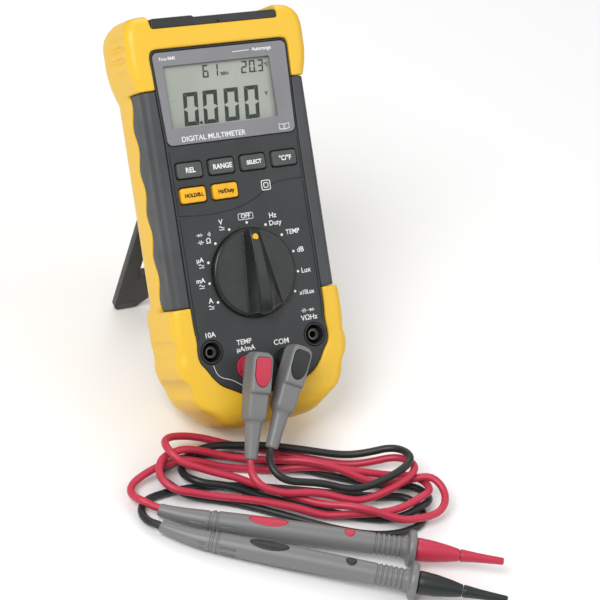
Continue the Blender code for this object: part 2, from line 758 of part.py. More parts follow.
def make_dial(parent):
    """Disc with a tapering ridge handle, and a shaft that carries the contact rotor."""
    origin = (0.0, 0.0, DIAL_HEIGHT)
    face = -GAP - DIAL_DISC
    profile = [
        (face, 0), (face, DIAL_RADIUS - 1.0), (face + 0.8, DIAL_RADIUS), (-GAP, DIAL_RADIUS),
        (-GAP, DIAL_SHAFT), (FRONT_WALL_BACK + GAP, DIAL_SHAFT), (FRONT_WALL_BACK + GAP, 0),
    ]
    knob = turned("range_knob", profile, black_plastic(), parent, origin, steps=40)
    sections = []
    tip = DIAL_RADIUS - 0.6
    for share in (-1.0, -0.86, -0.5, 0.0, 0.5, 0.86, 1.0):
        full = math.sqrt(max(0.0, 1.0 - (0.92 * share) ** 2))
        from_pointer = (1.0 - share) / 2
        foot = DIAL_POINTER_HALF + (DIAL_RIDGE_HALF - DIAL_POINTER_HALF) * from_pointer
        crest = DIAL_CREST_HALF + (foot - DIAL_CREST_HALF) * DIAL_CREST_SHARE * from_pointer
        height = DIAL_RIDGE * (0.35 + 0.65 * full)
        u = share * tip
        reach = math.sqrt(max(0.0, (DIAL_RADIUS - 1.2) ** 2 - u * u))
        foot = min(foot, max(reach, 1.5))
        crest = min(crest, 0.62 * foot)
        ring = [(-foot, face + 0.4), (-crest, face - height), (crest, face - height), (foot, face + 0.4)]
        sections.append([(x, n, u) for x, n in ring])
    points, faces = loft_shape(sections)
    join(knob, add_piece("range_knob_ridge", points, faces, black_plastic(), parent, origin=origin))
    start = FRONT_WALL_BACK + 2 * GAP
    rotor = [(start, 0), (start, ROTOR_RADIUS), (BOARD_FRONT - GAP, ROTOR_RADIUS), (BOARD_FRONT - GAP, 0)]
    rotor_look = finish("rotor_nylon", (0.75, 0.74, 0.70), 0.5)
    turned("range_rotor", rotor, rotor_look, parent, origin, steps=32)


def make_jacks(parent):
    """Shrouded sockets: a barrel and a contact post joined at the bottom of a ring groove."""
    floor = JACK_DEPTH - 2.0
    rim = 1.2
    profile = [
        (floor, 0.0), (floor, JACK_BORE), (rim, JACK_BORE), (rim, JACK_POST), (floor, JACK_POST),
        (floor, JACK_GROOVE), (0.0, JACK_GROOVE), (0.0, JACK_RADIUS), (JACK_DEPTH, JACK_RADIUS),
        (JACK_DEPTH, 0.0),
    ]
    for name, x, u in JACKS:
        turned(name, profile, black_plastic(), parent, (x, 0, u))


def make_inner(parent):
    green = finish("board_green", (0.02, 0.16, 0.07), 0.5)
    half = CASE_HALF - CASE_WALL - 0.8
    low = CASE_FOOT + 5.4
    high = CASE_TOP - 9.0
    outline = mirrored([(0.0, low), (half - 10.8, low), (half, low + 14.0), (half, high), (0.0, high)])
    board = prism("main_board", outline, BOARD_FRONT, BOARD_FRONT + BOARD_THICK, green, parent)
    for name, x, u in JACKS:
        cut_round(board, (x, u), JACK_RADIUS + GAP, -5, 30, parent)
    behind = BOARD_FRONT + BOARD_THICK + GAP
    along = Matrix.Rotation(math.radians(90), 3, "Y")
    glass = finish("fuse_glass", (0.7, 0.72, 0.7), 0.2)
    reach = FUSE_LENGTH / 2
    fuse = [(-reach, 0), (-reach, FUSE_RADIUS), (reach, FUSE_RADIUS), (reach, 0)]
    level = BATTERY_TOP + 18.0
    for name, height in (("fuse_10a", level), ("fuse_ma", level + 10.0)):
        turned(name, fuse, glass, parent, (0, behind + FUSE_RADIUS, height), along, 16)
    buzzer = [(0, 0), (0, 6.0), (5.0, 6.0), (5.0, 1.0), (3.6, 1.0), (3.6, 0)]
    turned("buzzer", buzzer, black_plastic(), parent, (half - 12, behind, high - 20), steps=20)

    wide = BATTERY_WIDTH / 2
    back = BATTERY_FRONT + BATTERY_DEPTH
    cell = rounded_box(-wide, wide, BATTERY_FOOT, BATTERY_TOP, 2.0, 3)
    prism("battery_9v", cell, BATTERY_FRONT, back, finish("battery_steel", (0.2, 0.2, 0.24), 0.35, 0.6),
          parent)
    snap = rounded_box(-wide, wide, BATTERY_TOP + GAP, BATTERY_TOP + 3.2, 1.0, 2)
    prism("battery_snap", snap, BATTERY_FRONT + 2, back - 6, black_plastic(), parent)
    door = prism("battery_door", door_outline(), CASE_BACK - DOOR_THICK, CASE_BACK, dark_plastic(), parent)
    tab = (0.0, DOOR_SCREW_HEIGHT)
    cut_round(door, tab, 1.0 + GAP, 0, BODY_DEPTH, parent, 16)
    head = CASE_BACK + 1.2 + GAP
    turned("battery_door_screw", screw_profile(head, 1.2, 2.4, 1.0, CASE_SPLIT + 10), bright_metal(),
           parent, (tab[0], 0, tab[1]), steps=16)


# ---------------------------------------------------------------- leaning the meter on its stand

def stand_foot():
    """Front lower edge of the open stand, as (n, u)."""
    angle = math.radians(STAND_OPEN)
    along = (math.sin(angle), -math.cos(angle))
    inward = (-math.cos(angle), -math.sin(angle))
    half = STAND_THICK / 2
    return (HINGE_DEPTH + along[0] * STAND_LENGTH + inward[0] * half,
            HINGE_HEIGHT + along[1] * STAND_LENGTH + inward[1] * half)


def lean_angle():
    """Angle from upright at which heel and foot both touch the table."""
    foot_n, foot_u = stand_foot()
    return max(math.atan2(foot_u - height, foot_n - back) for height, half, front, back in FOOT_STATIONS)


def meter_frame():
    """Empty that carries the meter, placed so that its box stands centred on the origin."""
    lean = lean_angle()
    turn = Matrix.Rotation(-lean, 4, "X")
    foot_n, foot_u = stand_foot()
    lift = foot_n * math.sin(lean) - foot_u * math.cos(lean)
    depths = []
    for height, half, front, back in holster_stations():
        for x, n, u in holster_section(height, half, front, back):
            depths.append(n * math.cos(lean) + u * math.sin(lean))
    shift = -(min(depths) + max(depths)) / 2
    frame = bpy.data.objects.new("meter_frame", None)
    bpy.context.scene.collection.objects.link(frame)
    frame.matrix_basis = Matrix.Translation(Vector((0, shift, lift)) * MM) @ turn
    return frame


# ---------------------------------------------------------------- test leads

# plan routes on the table, mm from the middle of the holster's foot line, from plug to probe
RED_BENDS = (
    (-14, -24, 9, 157, 255), (47, -34, 10.5, -75, 75), (-43, 3, 11, 105, 255), (55, -53, 10, -75, 75),
    (-50, -8, 11, 105, 255), (50, -44, 11, -75, 75), (-65.4, -10.5, 10, 105, 225),
)
BLACK_BENDS = (
    (-4, -23, 9, 145, 255), (46, -31, 10, -75, 75), (-36, -4, 11, 105, 255), (51, -47, 9.5, -75, 75),
    (-45, -5, 13, 105, 255), (43, -54, 11, -75, 75), (-63.8, -22.5, 11, 100, 214),
)
RED_CORD = 0
STUB = 1.6                     # straight bit of cord at each end, square to what it enters
END_RUN = 3.0                  # straight run beside a plug or boot, before the first bend
FALL_POWER = 2.2               # how quickly a cord levels out under its plug
TOP_RUN = 184.0                # black cord nearest the plug, which lies over the red one
RED = ("red", "jack_ma", 15.0, RED_BENDS, (-46.9, -36.4), -30.3, 10.0)
BLACK = ("black", "jack_com", 27.0, BLACK_BENDS, (-52.1, -48.8), -34.9, 16.0)


def bend_points(bend):
    """Bend of a cord, turning to the left: its centre, radius and the angles it runs between."""
    x, y, radius, first, last = bend
    angles = np.radians(np.linspace(first, last, 40))
    return np.column_stack([x + radius * np.cos(angles), y + radius * np.sin(angles)])


def run_points(start, leaving, stop, arriving):
    """Gentle run of cord between two places, with the direction it leaves and arrives in."""
    reach = float(np.linalg.norm(np.subtract(stop, start)))
    t = np.linspace(0, 1, 60)[:, None]
    shift = 3 * t ** 2 - 2 * t ** 3
    pull_out = (t ** 3 - 2 * t ** 2 + t) * reach * np.array(leaving)
    pull_in = (t ** 3 - t ** 2) * reach * np.array(arriving)
    return (1 - shift) * np.array(start) + shift * np.array(stop) + pull_out + pull_in


def heading(angle):
    """Direction of travel at an angle of a bend that turns to the left."""
    return -math.sin(math.radians(angle)), math.cos(math.radians(angle))


def travelled(path):
    steps = np.linalg.norm(np.diff(path, axis=0), axis=1)
    return np.concatenate([[0], np.cumsum(steps)])


def read_at(path, length, places):
    return np.column_stack([np.interp(places, length, path[:, axis]) for axis in range(path.shape[1])])


def smooth_line(values, reach):
    """Moving average whose window shrinks towards the two ends."""
    padded = np.concatenate([np.full(reach, values[0]), values, np.full(reach, values[-1])])
    weight = np.hanning(2 * reach + 3)[1:-1]
    return np.convolve(padded, weight / weight.sum(), mode="valid")


def slope_limit(values, rise):
    """Raise values so that they never climb or fall faster than rise from point to point."""
    out = values.copy()
    for i in range(1, len(out)):
        out[i] = max(out[i], out[i - 1] - rise)
    for i in range(len(out) - 2, -1, -1):
        out[i] = max(out[i], out[i + 1] - rise)
    return out


def laying_order(length, cord):
    """When each point comes to lie: the black cord first, then the red, then the black one's end."""
    share = 1 - length / length[-1]
    if cord == RED_CORD:
        return share + 1
    return np.where(length < TOP_RUN, share + 2, share)


def support_height(plan, lengths, heights, one, other):
    """Height each point of cord one needs, to lie on the runs laid before it."""
    room = 2 * CORD_RADIUS + CORD_SPACING
    apart = np.linalg.norm(plan[one][:, None, :] - plan[other][None, :, :], axis=2)
    turns = [laying_order(lengths[cord], cord) for cord in (one, other)]
    earlier = turns[1][None, :] < turns[0][:, None]
    if one == other:
        along = np.abs(lengths[one][:, None] - lengths[one][None, :])
        earlier &= along > 5 * room
    near = earlier & (apart < room)
    lift = heights[other][None, :] + np.sqrt(np.maximum(room ** 2 - apart ** 2, 0))
    return np.where(near, lift, 0).max(axis=1)


def lay(plan, floors):
    """Heights of cords laid on the table from the probe end, each run over the earlier ones."""
    lengths = [travelled(path) for path in plan]
    heights = [floor.copy() for floor in floors]
    for sweep in range(12):
        for one in range(len(plan)):
            need = floors[one]
            for other in range(len(plan)):
                need = np.maximum(need, support_height(plan, lengths, heights, one, other))
            rise = CORD_SLOPE * lengths[one][1]
            draped = smooth_line(slope_limit(need, rise), 6)
            short = slope_limit(np.maximum(need - draped, 0), rise)
            heights[one] = np.maximum(draped + short, need)
    return [smooth_line(height, 3) for height in heights]


def thin_out(path, count):
    """Fewer points, closer together where the path bends."""
    length = travelled(path)
    ahead = np.gradient(path, length, axis=0)
    bend = np.linalg.norm(np.gradient(ahead, length, axis=0), axis=1)
    bend = smooth_line(bend, 4)
    spacing = np.clip(np.sqrt(8 * 0.12 / np.maximum(bend, 1e-4)), 4.0, 16.0)
    density = np.concatenate([[0], np.cumsum((1 / spacing[1:]) * np.diff(length))])
    places = np.interp(np.linspace(0, density[-1], count), density, length)
    return read_at(path, length, places)


def lead_setup(lead, frame):
    """World places that a lead's pieces share: the plug's frame, its exit and the probe's axis."""
    name, jack, swing, bends, ring, heading, bend = lead
    x, u = next((x, u) for label, x, u in JACKS if label == jack)
    plug_turn = Matrix.Rotation(math.radians(swing), 3, "Y")
    plug = frame.matrix_basis @ Matrix.Translation(Vector((x, 0, u)) * MM) @ plug_turn.to_4x4()
    centre = -(PLUG_STAND_OFF + PLUG_DEEP)
    leave = plug @ (Vector((0, centre, -PLUG_END - GAP)) * MM) / MM
    down = (plug.to_3x3() @ Vector((0, 0, -1))).normalized()
    base = frame.matrix_basis.translation.y / MM
    tilt = math.asin((FLANGE_RADIUS - HANDLE_START) / (HANDLE_LENGTH + FLANGE_THICK / 2))
    turn = math.radians(heading)
    ahead = Vector((math.cos(turn) * math.cos(tilt), math.sin(turn) * math.cos(tilt), math.sin(tilt)))
    start = Vector((ring[0], ring[1] + base, HANDLE_START + GAP))
    tail_turn = math.radians(heading - bend)
    tail_ahead = Vector((math.cos(tail_turn), math.sin(tail_turn), 0.02)).normalized()
    tail = start - ahead * (BOOT_LENGTH * 0.5) - tail_ahead * (BOOT_LENGTH * 0.5)
    return {
        "name": name, "origin": (x, 0, u), "plug_turn": plug_turn, "leave": leave, "down": down,
        "base": base, "ahead": ahead, "ring": start, "tail": tail, "tail_ahead": tail_ahead,
        "bends": bends,
    }


def cord_plan(setup):
    """Plan of a cord: out of the plug, round its bends, and into the probe's boot, every 1.5 mm."""
    base = setup["base"]
    ahead = setup["down"].xy.normalized()
    ends_at = setup["tail"] - setup["tail_ahead"] * GAP
    tail_ahead = setup["tail_ahead"].xy.normalized()
    place = np.array(setup["leave"].xy)
    last_bit = np.array((ends_at - setup["tail_ahead"] * END_RUN).xy)
    parts = [place[None, :]]
    place = place + np.array(ahead) * END_RUN
    for bend in setup["bends"]:
        around = bend_points(bend) + np.array((0, base))
        parts += [run_points(place, ahead, around[0], heading(bend[3])), around]
        place = around[-1]
        ahead = heading(bend[4])
    parts += [run_points(place, ahead, last_bit, tail_ahead), np.array([ends_at.xy])]
    path = np.vstack(parts)
    length = travelled(path)
    return read_at(path, length, np.linspace(0, length[-1], int(length[-1] / 1.5)))


def cord_floor(setup, plan):
    """Lowest heights: the drop from the plug to the table, the table, and the climb to the boot."""
    length = travelled(plan)
    lie = CORD_RADIUS + 0.2
    drop = setup["leave"].z - lie
    steepness = -setup["down"].z / setup["down"].xy.length
    fall = FALL_POWER * drop / steepness
    share = np.clip(length / fall, 0, 1)
    floor = lie + drop * (1 - share) ** FALL_POWER
    climb = setup["tail"].z - lie
    left = np.clip((length[-1] - length) / 18.0, 0, 1)
    return floor + climb * (1 - left) ** 2


def make_cord(name, path, look):
    curve = bpy.data.curves.new(name, "CURVE")
    curve.dimensions = "3D"
    curve.bevel_depth = CORD_RADIUS * MM
    curve.bevel_resolution = 2
    curve.use_fill_caps = True
    run = curve.splines.new("POLY")
    run.points.add(len(path) - 1)
    for point, place in zip(run.points, path):
        point.co = (*(place * MM), 1.0)
    curve.materials.append(look)
    cord = bpy.data.objects.new(name, curve)
    bpy.context.scene.collection.objects.link(cord)
    return cord


def plug_section(v, half, near, far, corner):
    ring = rounded_box(-half, half, -far, -near, corner, 3)
    return [(w, n, -v) for w, n in ring]


def make_plug(setup, colour, frame):
    """Right-angle plug: grey body with a coloured inlay, a coloured sleeve and a metal pin."""
    name = setup["name"]
    place = {"origin": setup["origin"], "turn": setup["plug_turn"]}
    near = PLUG_STAND_OFF
    far = near + 2 * PLUG_DEEP
    neck = PLUG_HALF - 1.1
    sections = [
        plug_section(-PLUG_TOP, PLUG_HALF - 2.4, near + 2.0, far - 2.2, 2.0),
        plug_section(-PLUG_TOP + 1.0, PLUG_HALF - 0.8, near + 0.6, far - 0.8, 2.2),
        plug_section(-PLUG_TOP + 3.0, PLUG_HALF, near, far, 1.8),
        plug_section(PLUG_STEP, PLUG_HALF, near, far, 1.8),
        plug_section(PLUG_STEP + 0.9, PLUG_HALF - 0.1, near + 0.3, far - 1.5, 1.8),
        plug_section(PLUG_NECK - 1.8, PLUG_HALF - 0.2, near + 0.5, far - 1.8, 1.8),
        plug_section(PLUG_NECK, neck, near + 1.9, far - 2.6, 2.4),
        plug_section(PLUG_NECK + 1.5, neck - 0.3, near + 2.2, far - 2.8, 2.8),
        plug_section(PLUG_END, CORD_RADIUS + 1.3, near + 2.9, far - 2.9, CORD_RADIUS + 1.1),
    ]
    points, faces = loft_shape(sections)
    body = add_piece(f"{name}_plug_body", points, faces, grey_plastic(), frame, smooth=40, **place)
    pocket = plug_inlay_outline(0.0)
    cut(body, prism(body.name + "_pocket", pocket, -far - 3, -far + 1.0, grey_plastic(), frame, **place))
    bore = [(-near - 3.6, 0), (-near - 3.6, PIN_RADIUS + GAP), (3, PIN_RADIUS + GAP), (3, 0)]
    cut(body, turned(body.name + "_bore", bore, grey_plastic(), frame, setup["origin"], steps=20))
    prism(f"{name}_plug_inlay", plug_inlay_outline(-GAP), -far - 0.2, -far + 1.0 - GAP, colour, frame,
          chamfer=0.2, smooth=40, **place)
    inner = JACK_POST + GAP
    outer = JACK_GROOVE - GAP
    tip = JACK_DEPTH - 5.0
    shroud = [
        (-near + GAP, PIN_RADIUS + GAP), (-near + GAP, SHROUD_RADIUS), (-GAP, SHROUD_RADIUS),
        (-GAP, outer), (tip, outer), (tip, inner), (-1.5, inner), (-1.5, PIN_RADIUS + GAP),
    ]
    turned(f"{name}_plug_shroud", shroud, colour, frame, setup["origin"])
    point = JACK_DEPTH - 4.0
    pin = [(-near - 3.2, 0), (-near - 3.2, PIN_RADIUS), (point - 2, PIN_RADIUS), (point, 1.0), (point, 0)]
    turned(f"{name}_plug_pin", pin, bright_metal(), frame, setup["origin"], steps=16)


def plug_inlay_outline(clearance):
    """Flat-topped oval on the front of the plug body."""
    half = 3.9
    top = PLUG_TOP - 2.4
    foot = -PLUG_STEP + 2.4
    outline = arc((0.0, foot + 6.0), (half, 6.0), 180, 360, 10)
    outline += arc((half - 2.2, top - 2.2), 2.2, 0, 90, 3)
    outline += arc((-half + 2.2, top - 2.2), 2.2, 90, 180, 3)
    return offset_outline(outline, clearance)


def facing(direction):
    """Rotation that takes local Z to a direction, with local X level."""
    ahead = Vector(direction).normalized()
    side = Vector((0, 0, 1)).cross(ahead).normalized()
    up = ahead.cross(side)
    return Matrix((up, side, ahead)).transposed()


def make_probe(setup, colour):
    """Probe lying on its finger guard: bent boot, handle, nose cone, needle and tip cap."""
    name = setup["name"]
    ring = setup["ring"]
    ahead = setup["ahead"]
    turn = facing(ahead)
    tail = setup["tail"]
    elbow = ring - ahead * (BOOT_LENGTH * 0.5)
    sections = []
    for step in range(6):
        t = step / 5
        centre = tail * (1 - t) ** 2 + elbow * 2 * t * (1 - t) + (ring - ahead * GAP) * t ** 2
        heading = (elbow - tail) * (1 - t) + (ring - elbow) * t
        across = facing(heading)
        radius = BOOT_TAIL + (HANDLE_START - 0.3 - BOOT_TAIL) * t
        sections.append([centre + across @ Vector((x, y, 0)) for x, y in circle((0, 0), radius, 16)])
    points, faces = loft_shape(sections)
    add_piece(f"{name}_probe_boot", points, faces, grey_plastic(), smooth=40)

    grooved = HANDLE_LENGTH - 16.0
    profile = [(0.0, 0.0), (0.0, HANDLE_START - 0.4), (0.6, HANDLE_START), (1.6, HANDLE_START),
               (1.6, HANDLE_START - 0.4), (2.4, HANDLE_START - 0.4), (2.4, HANDLE_START),
               (HANDLE_LENGTH * 0.35, HANDLE_MIDDLE), (grooved, HANDLE_START + 0.1)]
    for groove in range(5):
        at = grooved + 1.0 + groove * 2.6
        profile += [(at, HANDLE_START + 0.1), (at + 0.4, HANDLE_START - 0.4),
                    (at + 1.0, HANDLE_START - 0.4), (at + 1.4, HANDLE_START + 0.1)]
    end = HANDLE_LENGTH
    profile += [(end - 0.6, HANDLE_START + 0.3), (end, FLANGE_RADIUS - 0.5), (end + 0.8, FLANGE_RADIUS),
                (end + FLANGE_THICK - 1.0, FLANGE_RADIUS), (end + FLANGE_THICK, FLANGE_RADIUS - 0.8),
                (end + FLANGE_THICK, 0.0)]
    handle = turned(f"{name}_probe_handle", profile, grey_plastic(), None, ring, turn, 20)
    at = 16.0
    long_half = 9.0
    level = HANDLE_START - 0.6
    for label, clearance, low, high in (("pocket", 0.0, level, 12.0), ("inlay", -GAP, level + GAP, None)):
        oval = arc((0.0, 0.0), (3.0 + clearance, long_half + clearance), 0, 360, 16)[:-1]
        top = high if high else HANDLE_MIDDLE + 0.1
        sections = [[(height, x, at + long_half + z) for x, z in oval] for height in (low, top)]
        points, faces = loft_shape(sections)
        if label == "pocket":
            cut(handle, add_piece(f"{name}_probe_pocket", points, faces, grey_plastic(), None, None,
                                  ring, turn))
        else:
            add_piece(f"{name}_probe_inlay", points, faces, colour, None, None, ring, turn)
    base = HANDLE_LENGTH + FLANGE_THICK + GAP
    needle_hole = NEEDLE_RADIUS + GAP
    nose = [
        (base, needle_hole), (base, NOSE_RADIUS - 0.4), (base + 0.8, NOSE_RADIUS),
        (base + NOSE_LENGTH * 0.4, NOSE_RADIUS - 0.4), (base + NOSE_LENGTH * 0.75, NOSE_RADIUS - 1.5),
        (base + NOSE_LENGTH, NOSE_TIP), (base + NOSE_LENGTH, needle_hole),
    ]
    turned(f"{name}_probe_nose", nose, colour, None, ring, turn, 20)
    start = base
    stop = base + NOSE_LENGTH + NEEDLE_SHOWING - 2.0
    needle = [(start, 0.0), (start, NEEDLE_RADIUS), (stop - 3.0, NEEDLE_RADIUS), (stop, 0.2), (stop, 0.0)]
    turned(f"{name}_probe_needle", needle, bright_metal(), None, ring, turn, 12)
    first = base + NOSE_LENGTH + GAP
    cap = [
        (0.0, needle_hole), (0.0, CAP_RADIUS - 0.2), (0.5, CAP_RADIUS),
        (CAP_LENGTH * 0.35, CAP_RADIUS - 0.55), (CAP_LENGTH * 0.75, CAP_TIP + 0.2),
        (CAP_LENGTH - 0.5, CAP_TIP + 0.1), (CAP_LENGTH, CAP_TIP - 0.2), (CAP_LENGTH, needle_hole),
    ]
    turned(f"{name}_tip_cap", cap, colour, None, ring + ahead * first, turn, 20)


def make_leads(frame):
    setups = [lead_setup(RED, frame), lead_setup(BLACK, frame)]
    colours = [red_plastic(), black_plastic()]
    plans = [cord_plan(setup) for setup in setups]
    heights = lay(plans, [cord_floor(setup, plan) for setup, plan in zip(setups, plans)])
    for setup, colour, plan, height in zip(setups, colours, plans, heights):
        make_plug(setup, colour, frame)
        make_probe(setup, colour)
        path = thin_out(np.column_stack([plan, height]), CORD_POINTS)
        leaving = np.array(setup["down"]) * STUB
        arriving = np.array(setup["tail_ahead"]) * STUB
        path = np.vstack([path[:1], path[0] + leaving, path[1:-1], path[-1] - arriving, path[-1:]])
        make_cord(f"{setup['name']}_cord", path, colour)


# ---------------------------------------------------------------- the whole object

def main():
    clear_scene()
    frame = meter_frame()
    make_holster(frame)
    make_grip("left_grip", -1, frame)
    make_grip("right_grip", 1, frame)
    make_case(frame)
    make_panel(frame)
    make_display(frame)
    make_end_bar(frame)
    make_controls(frame)
    make_jacks(frame)
    make_inner(frame)
    make_stand(frame)
    make_leads(frame)


main()
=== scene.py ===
import json
import math
import bpy
import bmesh
import numpy as np
from mathutils import Matrix, Vector


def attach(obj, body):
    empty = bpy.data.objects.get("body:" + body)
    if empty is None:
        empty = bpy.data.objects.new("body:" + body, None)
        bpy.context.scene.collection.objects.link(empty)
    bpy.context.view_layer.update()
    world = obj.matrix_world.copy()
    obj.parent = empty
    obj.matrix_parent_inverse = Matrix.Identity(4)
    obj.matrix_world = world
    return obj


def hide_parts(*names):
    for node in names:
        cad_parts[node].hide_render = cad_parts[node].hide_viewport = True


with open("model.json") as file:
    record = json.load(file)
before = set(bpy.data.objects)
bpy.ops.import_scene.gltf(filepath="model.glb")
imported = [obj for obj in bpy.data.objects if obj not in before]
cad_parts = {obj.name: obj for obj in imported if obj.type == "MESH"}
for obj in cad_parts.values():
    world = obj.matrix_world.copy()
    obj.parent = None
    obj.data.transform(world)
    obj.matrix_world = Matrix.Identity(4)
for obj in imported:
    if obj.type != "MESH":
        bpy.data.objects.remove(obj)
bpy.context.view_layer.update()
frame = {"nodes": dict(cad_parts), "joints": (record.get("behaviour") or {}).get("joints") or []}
MM = 0.001

# ---------------------------------------------------------------- the meter's own frame
# x to the right, n into the meter from its face, u up its length from the foot, all in mm

DIAL = (0.0, 70.9)
DIAL_JOINT = next(joint for joint in frame["joints"] if joint["name"] == "range_switch_turn")
INTO = Vector(DIAL_JOINT["axis"]).normalized()
RISE = Vector((1, 0, 0)).cross(INTO)
FOOT = Vector(DIAL_JOINT["pos_m"]) - RISE * DIAL[1] * MM
METER = Matrix.Translation(FOOT) @ Matrix((Vector((1, 0, 0)), INTO, RISE)).transposed().to_4x4()
INWARD = Matrix.Rotation(math.radians(-90), 4, "X")

# ---------------------------------------------------------------- sizes, mm

LENGTH = 195.0
DEPTH = 42.0
EAR_HALF = 46.0
WAIST_HALF = 42.0
BUMPER_HALF = 44.6
RIM = 1.0
EAR_FOOT = 159.9
BUMPER_TOP = 59.4
GRIP_DEPTH = 15.4
PANEL_HALF = 34.2
PANEL_THICK = 1.2
CASE_HALF = 35.6
CASE_FOOT = 13.6
CASE_TOP = 186.0
CASE_CORNER = 8.0
CASE_FRONT = 1.5
CASE_BACK = 34.5
CAVITY_BACK = 34.8
RECESS_FLOOR = 36.8
LENS_TOP = 177.3
LENS_FOOT = 134.1
LENS_HALF_TOP = 34.4
LENS_HALF_FOOT = 33.1
PANEL_TOP = 178.5
LCD_LEFT = -29.9
LCD_RIGHT = 25.1
LCD_FOOT = 141.8
LCD_TOP = 170.8
BAR_HALF = 32.3
BAR_DEPTH = 24.0
BAR_FOOT = 186.3
BAR_TOP = 192.3
STAND_HALF = 29.0
STAND_LENGTH = 89.8
STAND_THICK = 4.6
STAND_OPEN = 51.9
HINGE = (39.5, 118.2)
DOOR_HALF = 18.0
DOOR_FOOT = 36.0
DOOR_TOP = 97.5
KEY_ROWS = (122.1, 110.5)
KEY_COLUMNS = (-24.6, -8.2, 8.2, 24.6)
DIAL_RADIUS = 21.0
JACKS = {"jack_10a": (-27.0, 37.5), "jack_ma": (-9.8, 28.0), "jack_com": (9.8, 28.0), "jack_volt": (27.0, 37.5)}
CORD_RADIUS = 1.8


# ---------------------------------------------------------------- camera, light, floor

CAMERA_PLACE = (-404.464, -677.156, 630.171)
CAMERA_RIGHT = (0.881207, -0.440989, 0.170300)
CAMERA_UP = (0.148944, 0.600902, 0.785323)
CAMERA_BACK = (-0.448653, -0.666667, 0.595202)
CAMERA_LENS = 120.73
FLOOR_HALF = 6.0
FLOOR_LEVEL = -0.0002
LIGHT_AIM = Vector((0, 0, 0.05))
# name, place in m, side in m, power in W
LIGHTS = (
    ("key_light", (-0.9, -0.5, 1.3), 0.8, 17.0),
    ("fill_light", (1.0, -0.9, 1.0), 1.2, 5.0),
    ("rim_light", (0.4, 1.1, 1.2), 1.0, 6.0),
)


def add_object(name, data, place=None):
    item = bpy.data.objects.new(name, data)
    bpy.context.scene.collection.objects.link(item)
    if place is not None:
        item.matrix_world = place
    return item


def moved(x, n, u):
    return Matrix.Translation(Vector((x, n, u)) * MM)


def set_inputs(node, values):
    for name, value in values.items():
        node.inputs[name].default_value = value


def set_camera():
    data = bpy.data.cameras.new("camera")
    data.sensor_width = 36.0
    data.lens = CAMERA_LENS
    data.clip_start = 0.01
    data.clip_end = 20.0
    turn = Matrix((CAMERA_RIGHT, CAMERA_UP, CAMERA_BACK)).transposed().to_4x4()
    bpy.context.scene.camera = add_object("camera", data, moved(*CAMERA_PLACE) @ turn)


def set_light():
    """Pale surroundings, brighter above than at the sides, and three soft lights."""
    world = bpy.data.worlds.new("studio")
    bpy.context.scene.world = world
    world.use_nodes = True
    tree = world.node_tree
    back = tree.nodes["Background"]
    apart = tree.nodes.new("ShaderNodeSeparateXYZ")
    span = tree.nodes.new("ShaderNodeMapRange")
    set_inputs(back, {"Color": (1, 1, 1, 1)})
    set_inputs(span, {"From Min": 0.05, "From Max": 0.75, "To Min": 0.14, "To Max": 0.56})
    tree.links.new(tree.nodes.new("ShaderNodeTexCoord").outputs["Generated"], apart.inputs["Vector"])
    tree.links.new(apart.outputs["Z"], span.inputs["Value"])
    tree.links.new(span.outputs["Result"], back.inputs["Strength"])
    bpy.context.scene.view_settings.view_transform = "Standard"
    for name, place, size, power in LIGHTS:
        data = bpy.data.lights.new(name, "AREA")
        data.shape = "SQUARE"
        data.size = size
        data.energy = power
        light = add_object(name, data)
        light.location = place
        light.rotation_euler = (LIGHT_AIM - Vector(place)).to_track_quat("-Z", "Y").to_euler()


def make_floor():
    body = bmesh.new()
    bmesh.ops.create_grid(body, x_segments=1, y_segments=1, size=FLOOR_HALF)
    mesh = bpy.data.meshes.new("floor")
    body.to_mesh(mesh)
    body.free()
    floor = add_object("floor", mesh)
    floor.location.z = FLOOR_LEVEL
    look = bpy.data.materials.new("floor_paper")
    look.use_nodes = True
    set_inputs(look.node_tree.nodes["Principled BSDF"],
               {"Base Color": (0.93, 0.93, 0.93, 1), "Roughness": 0.9, "Specular IOR Level": 0.1})
    mesh.materials.append(look)


# ---------------------------------------------------------------- materials

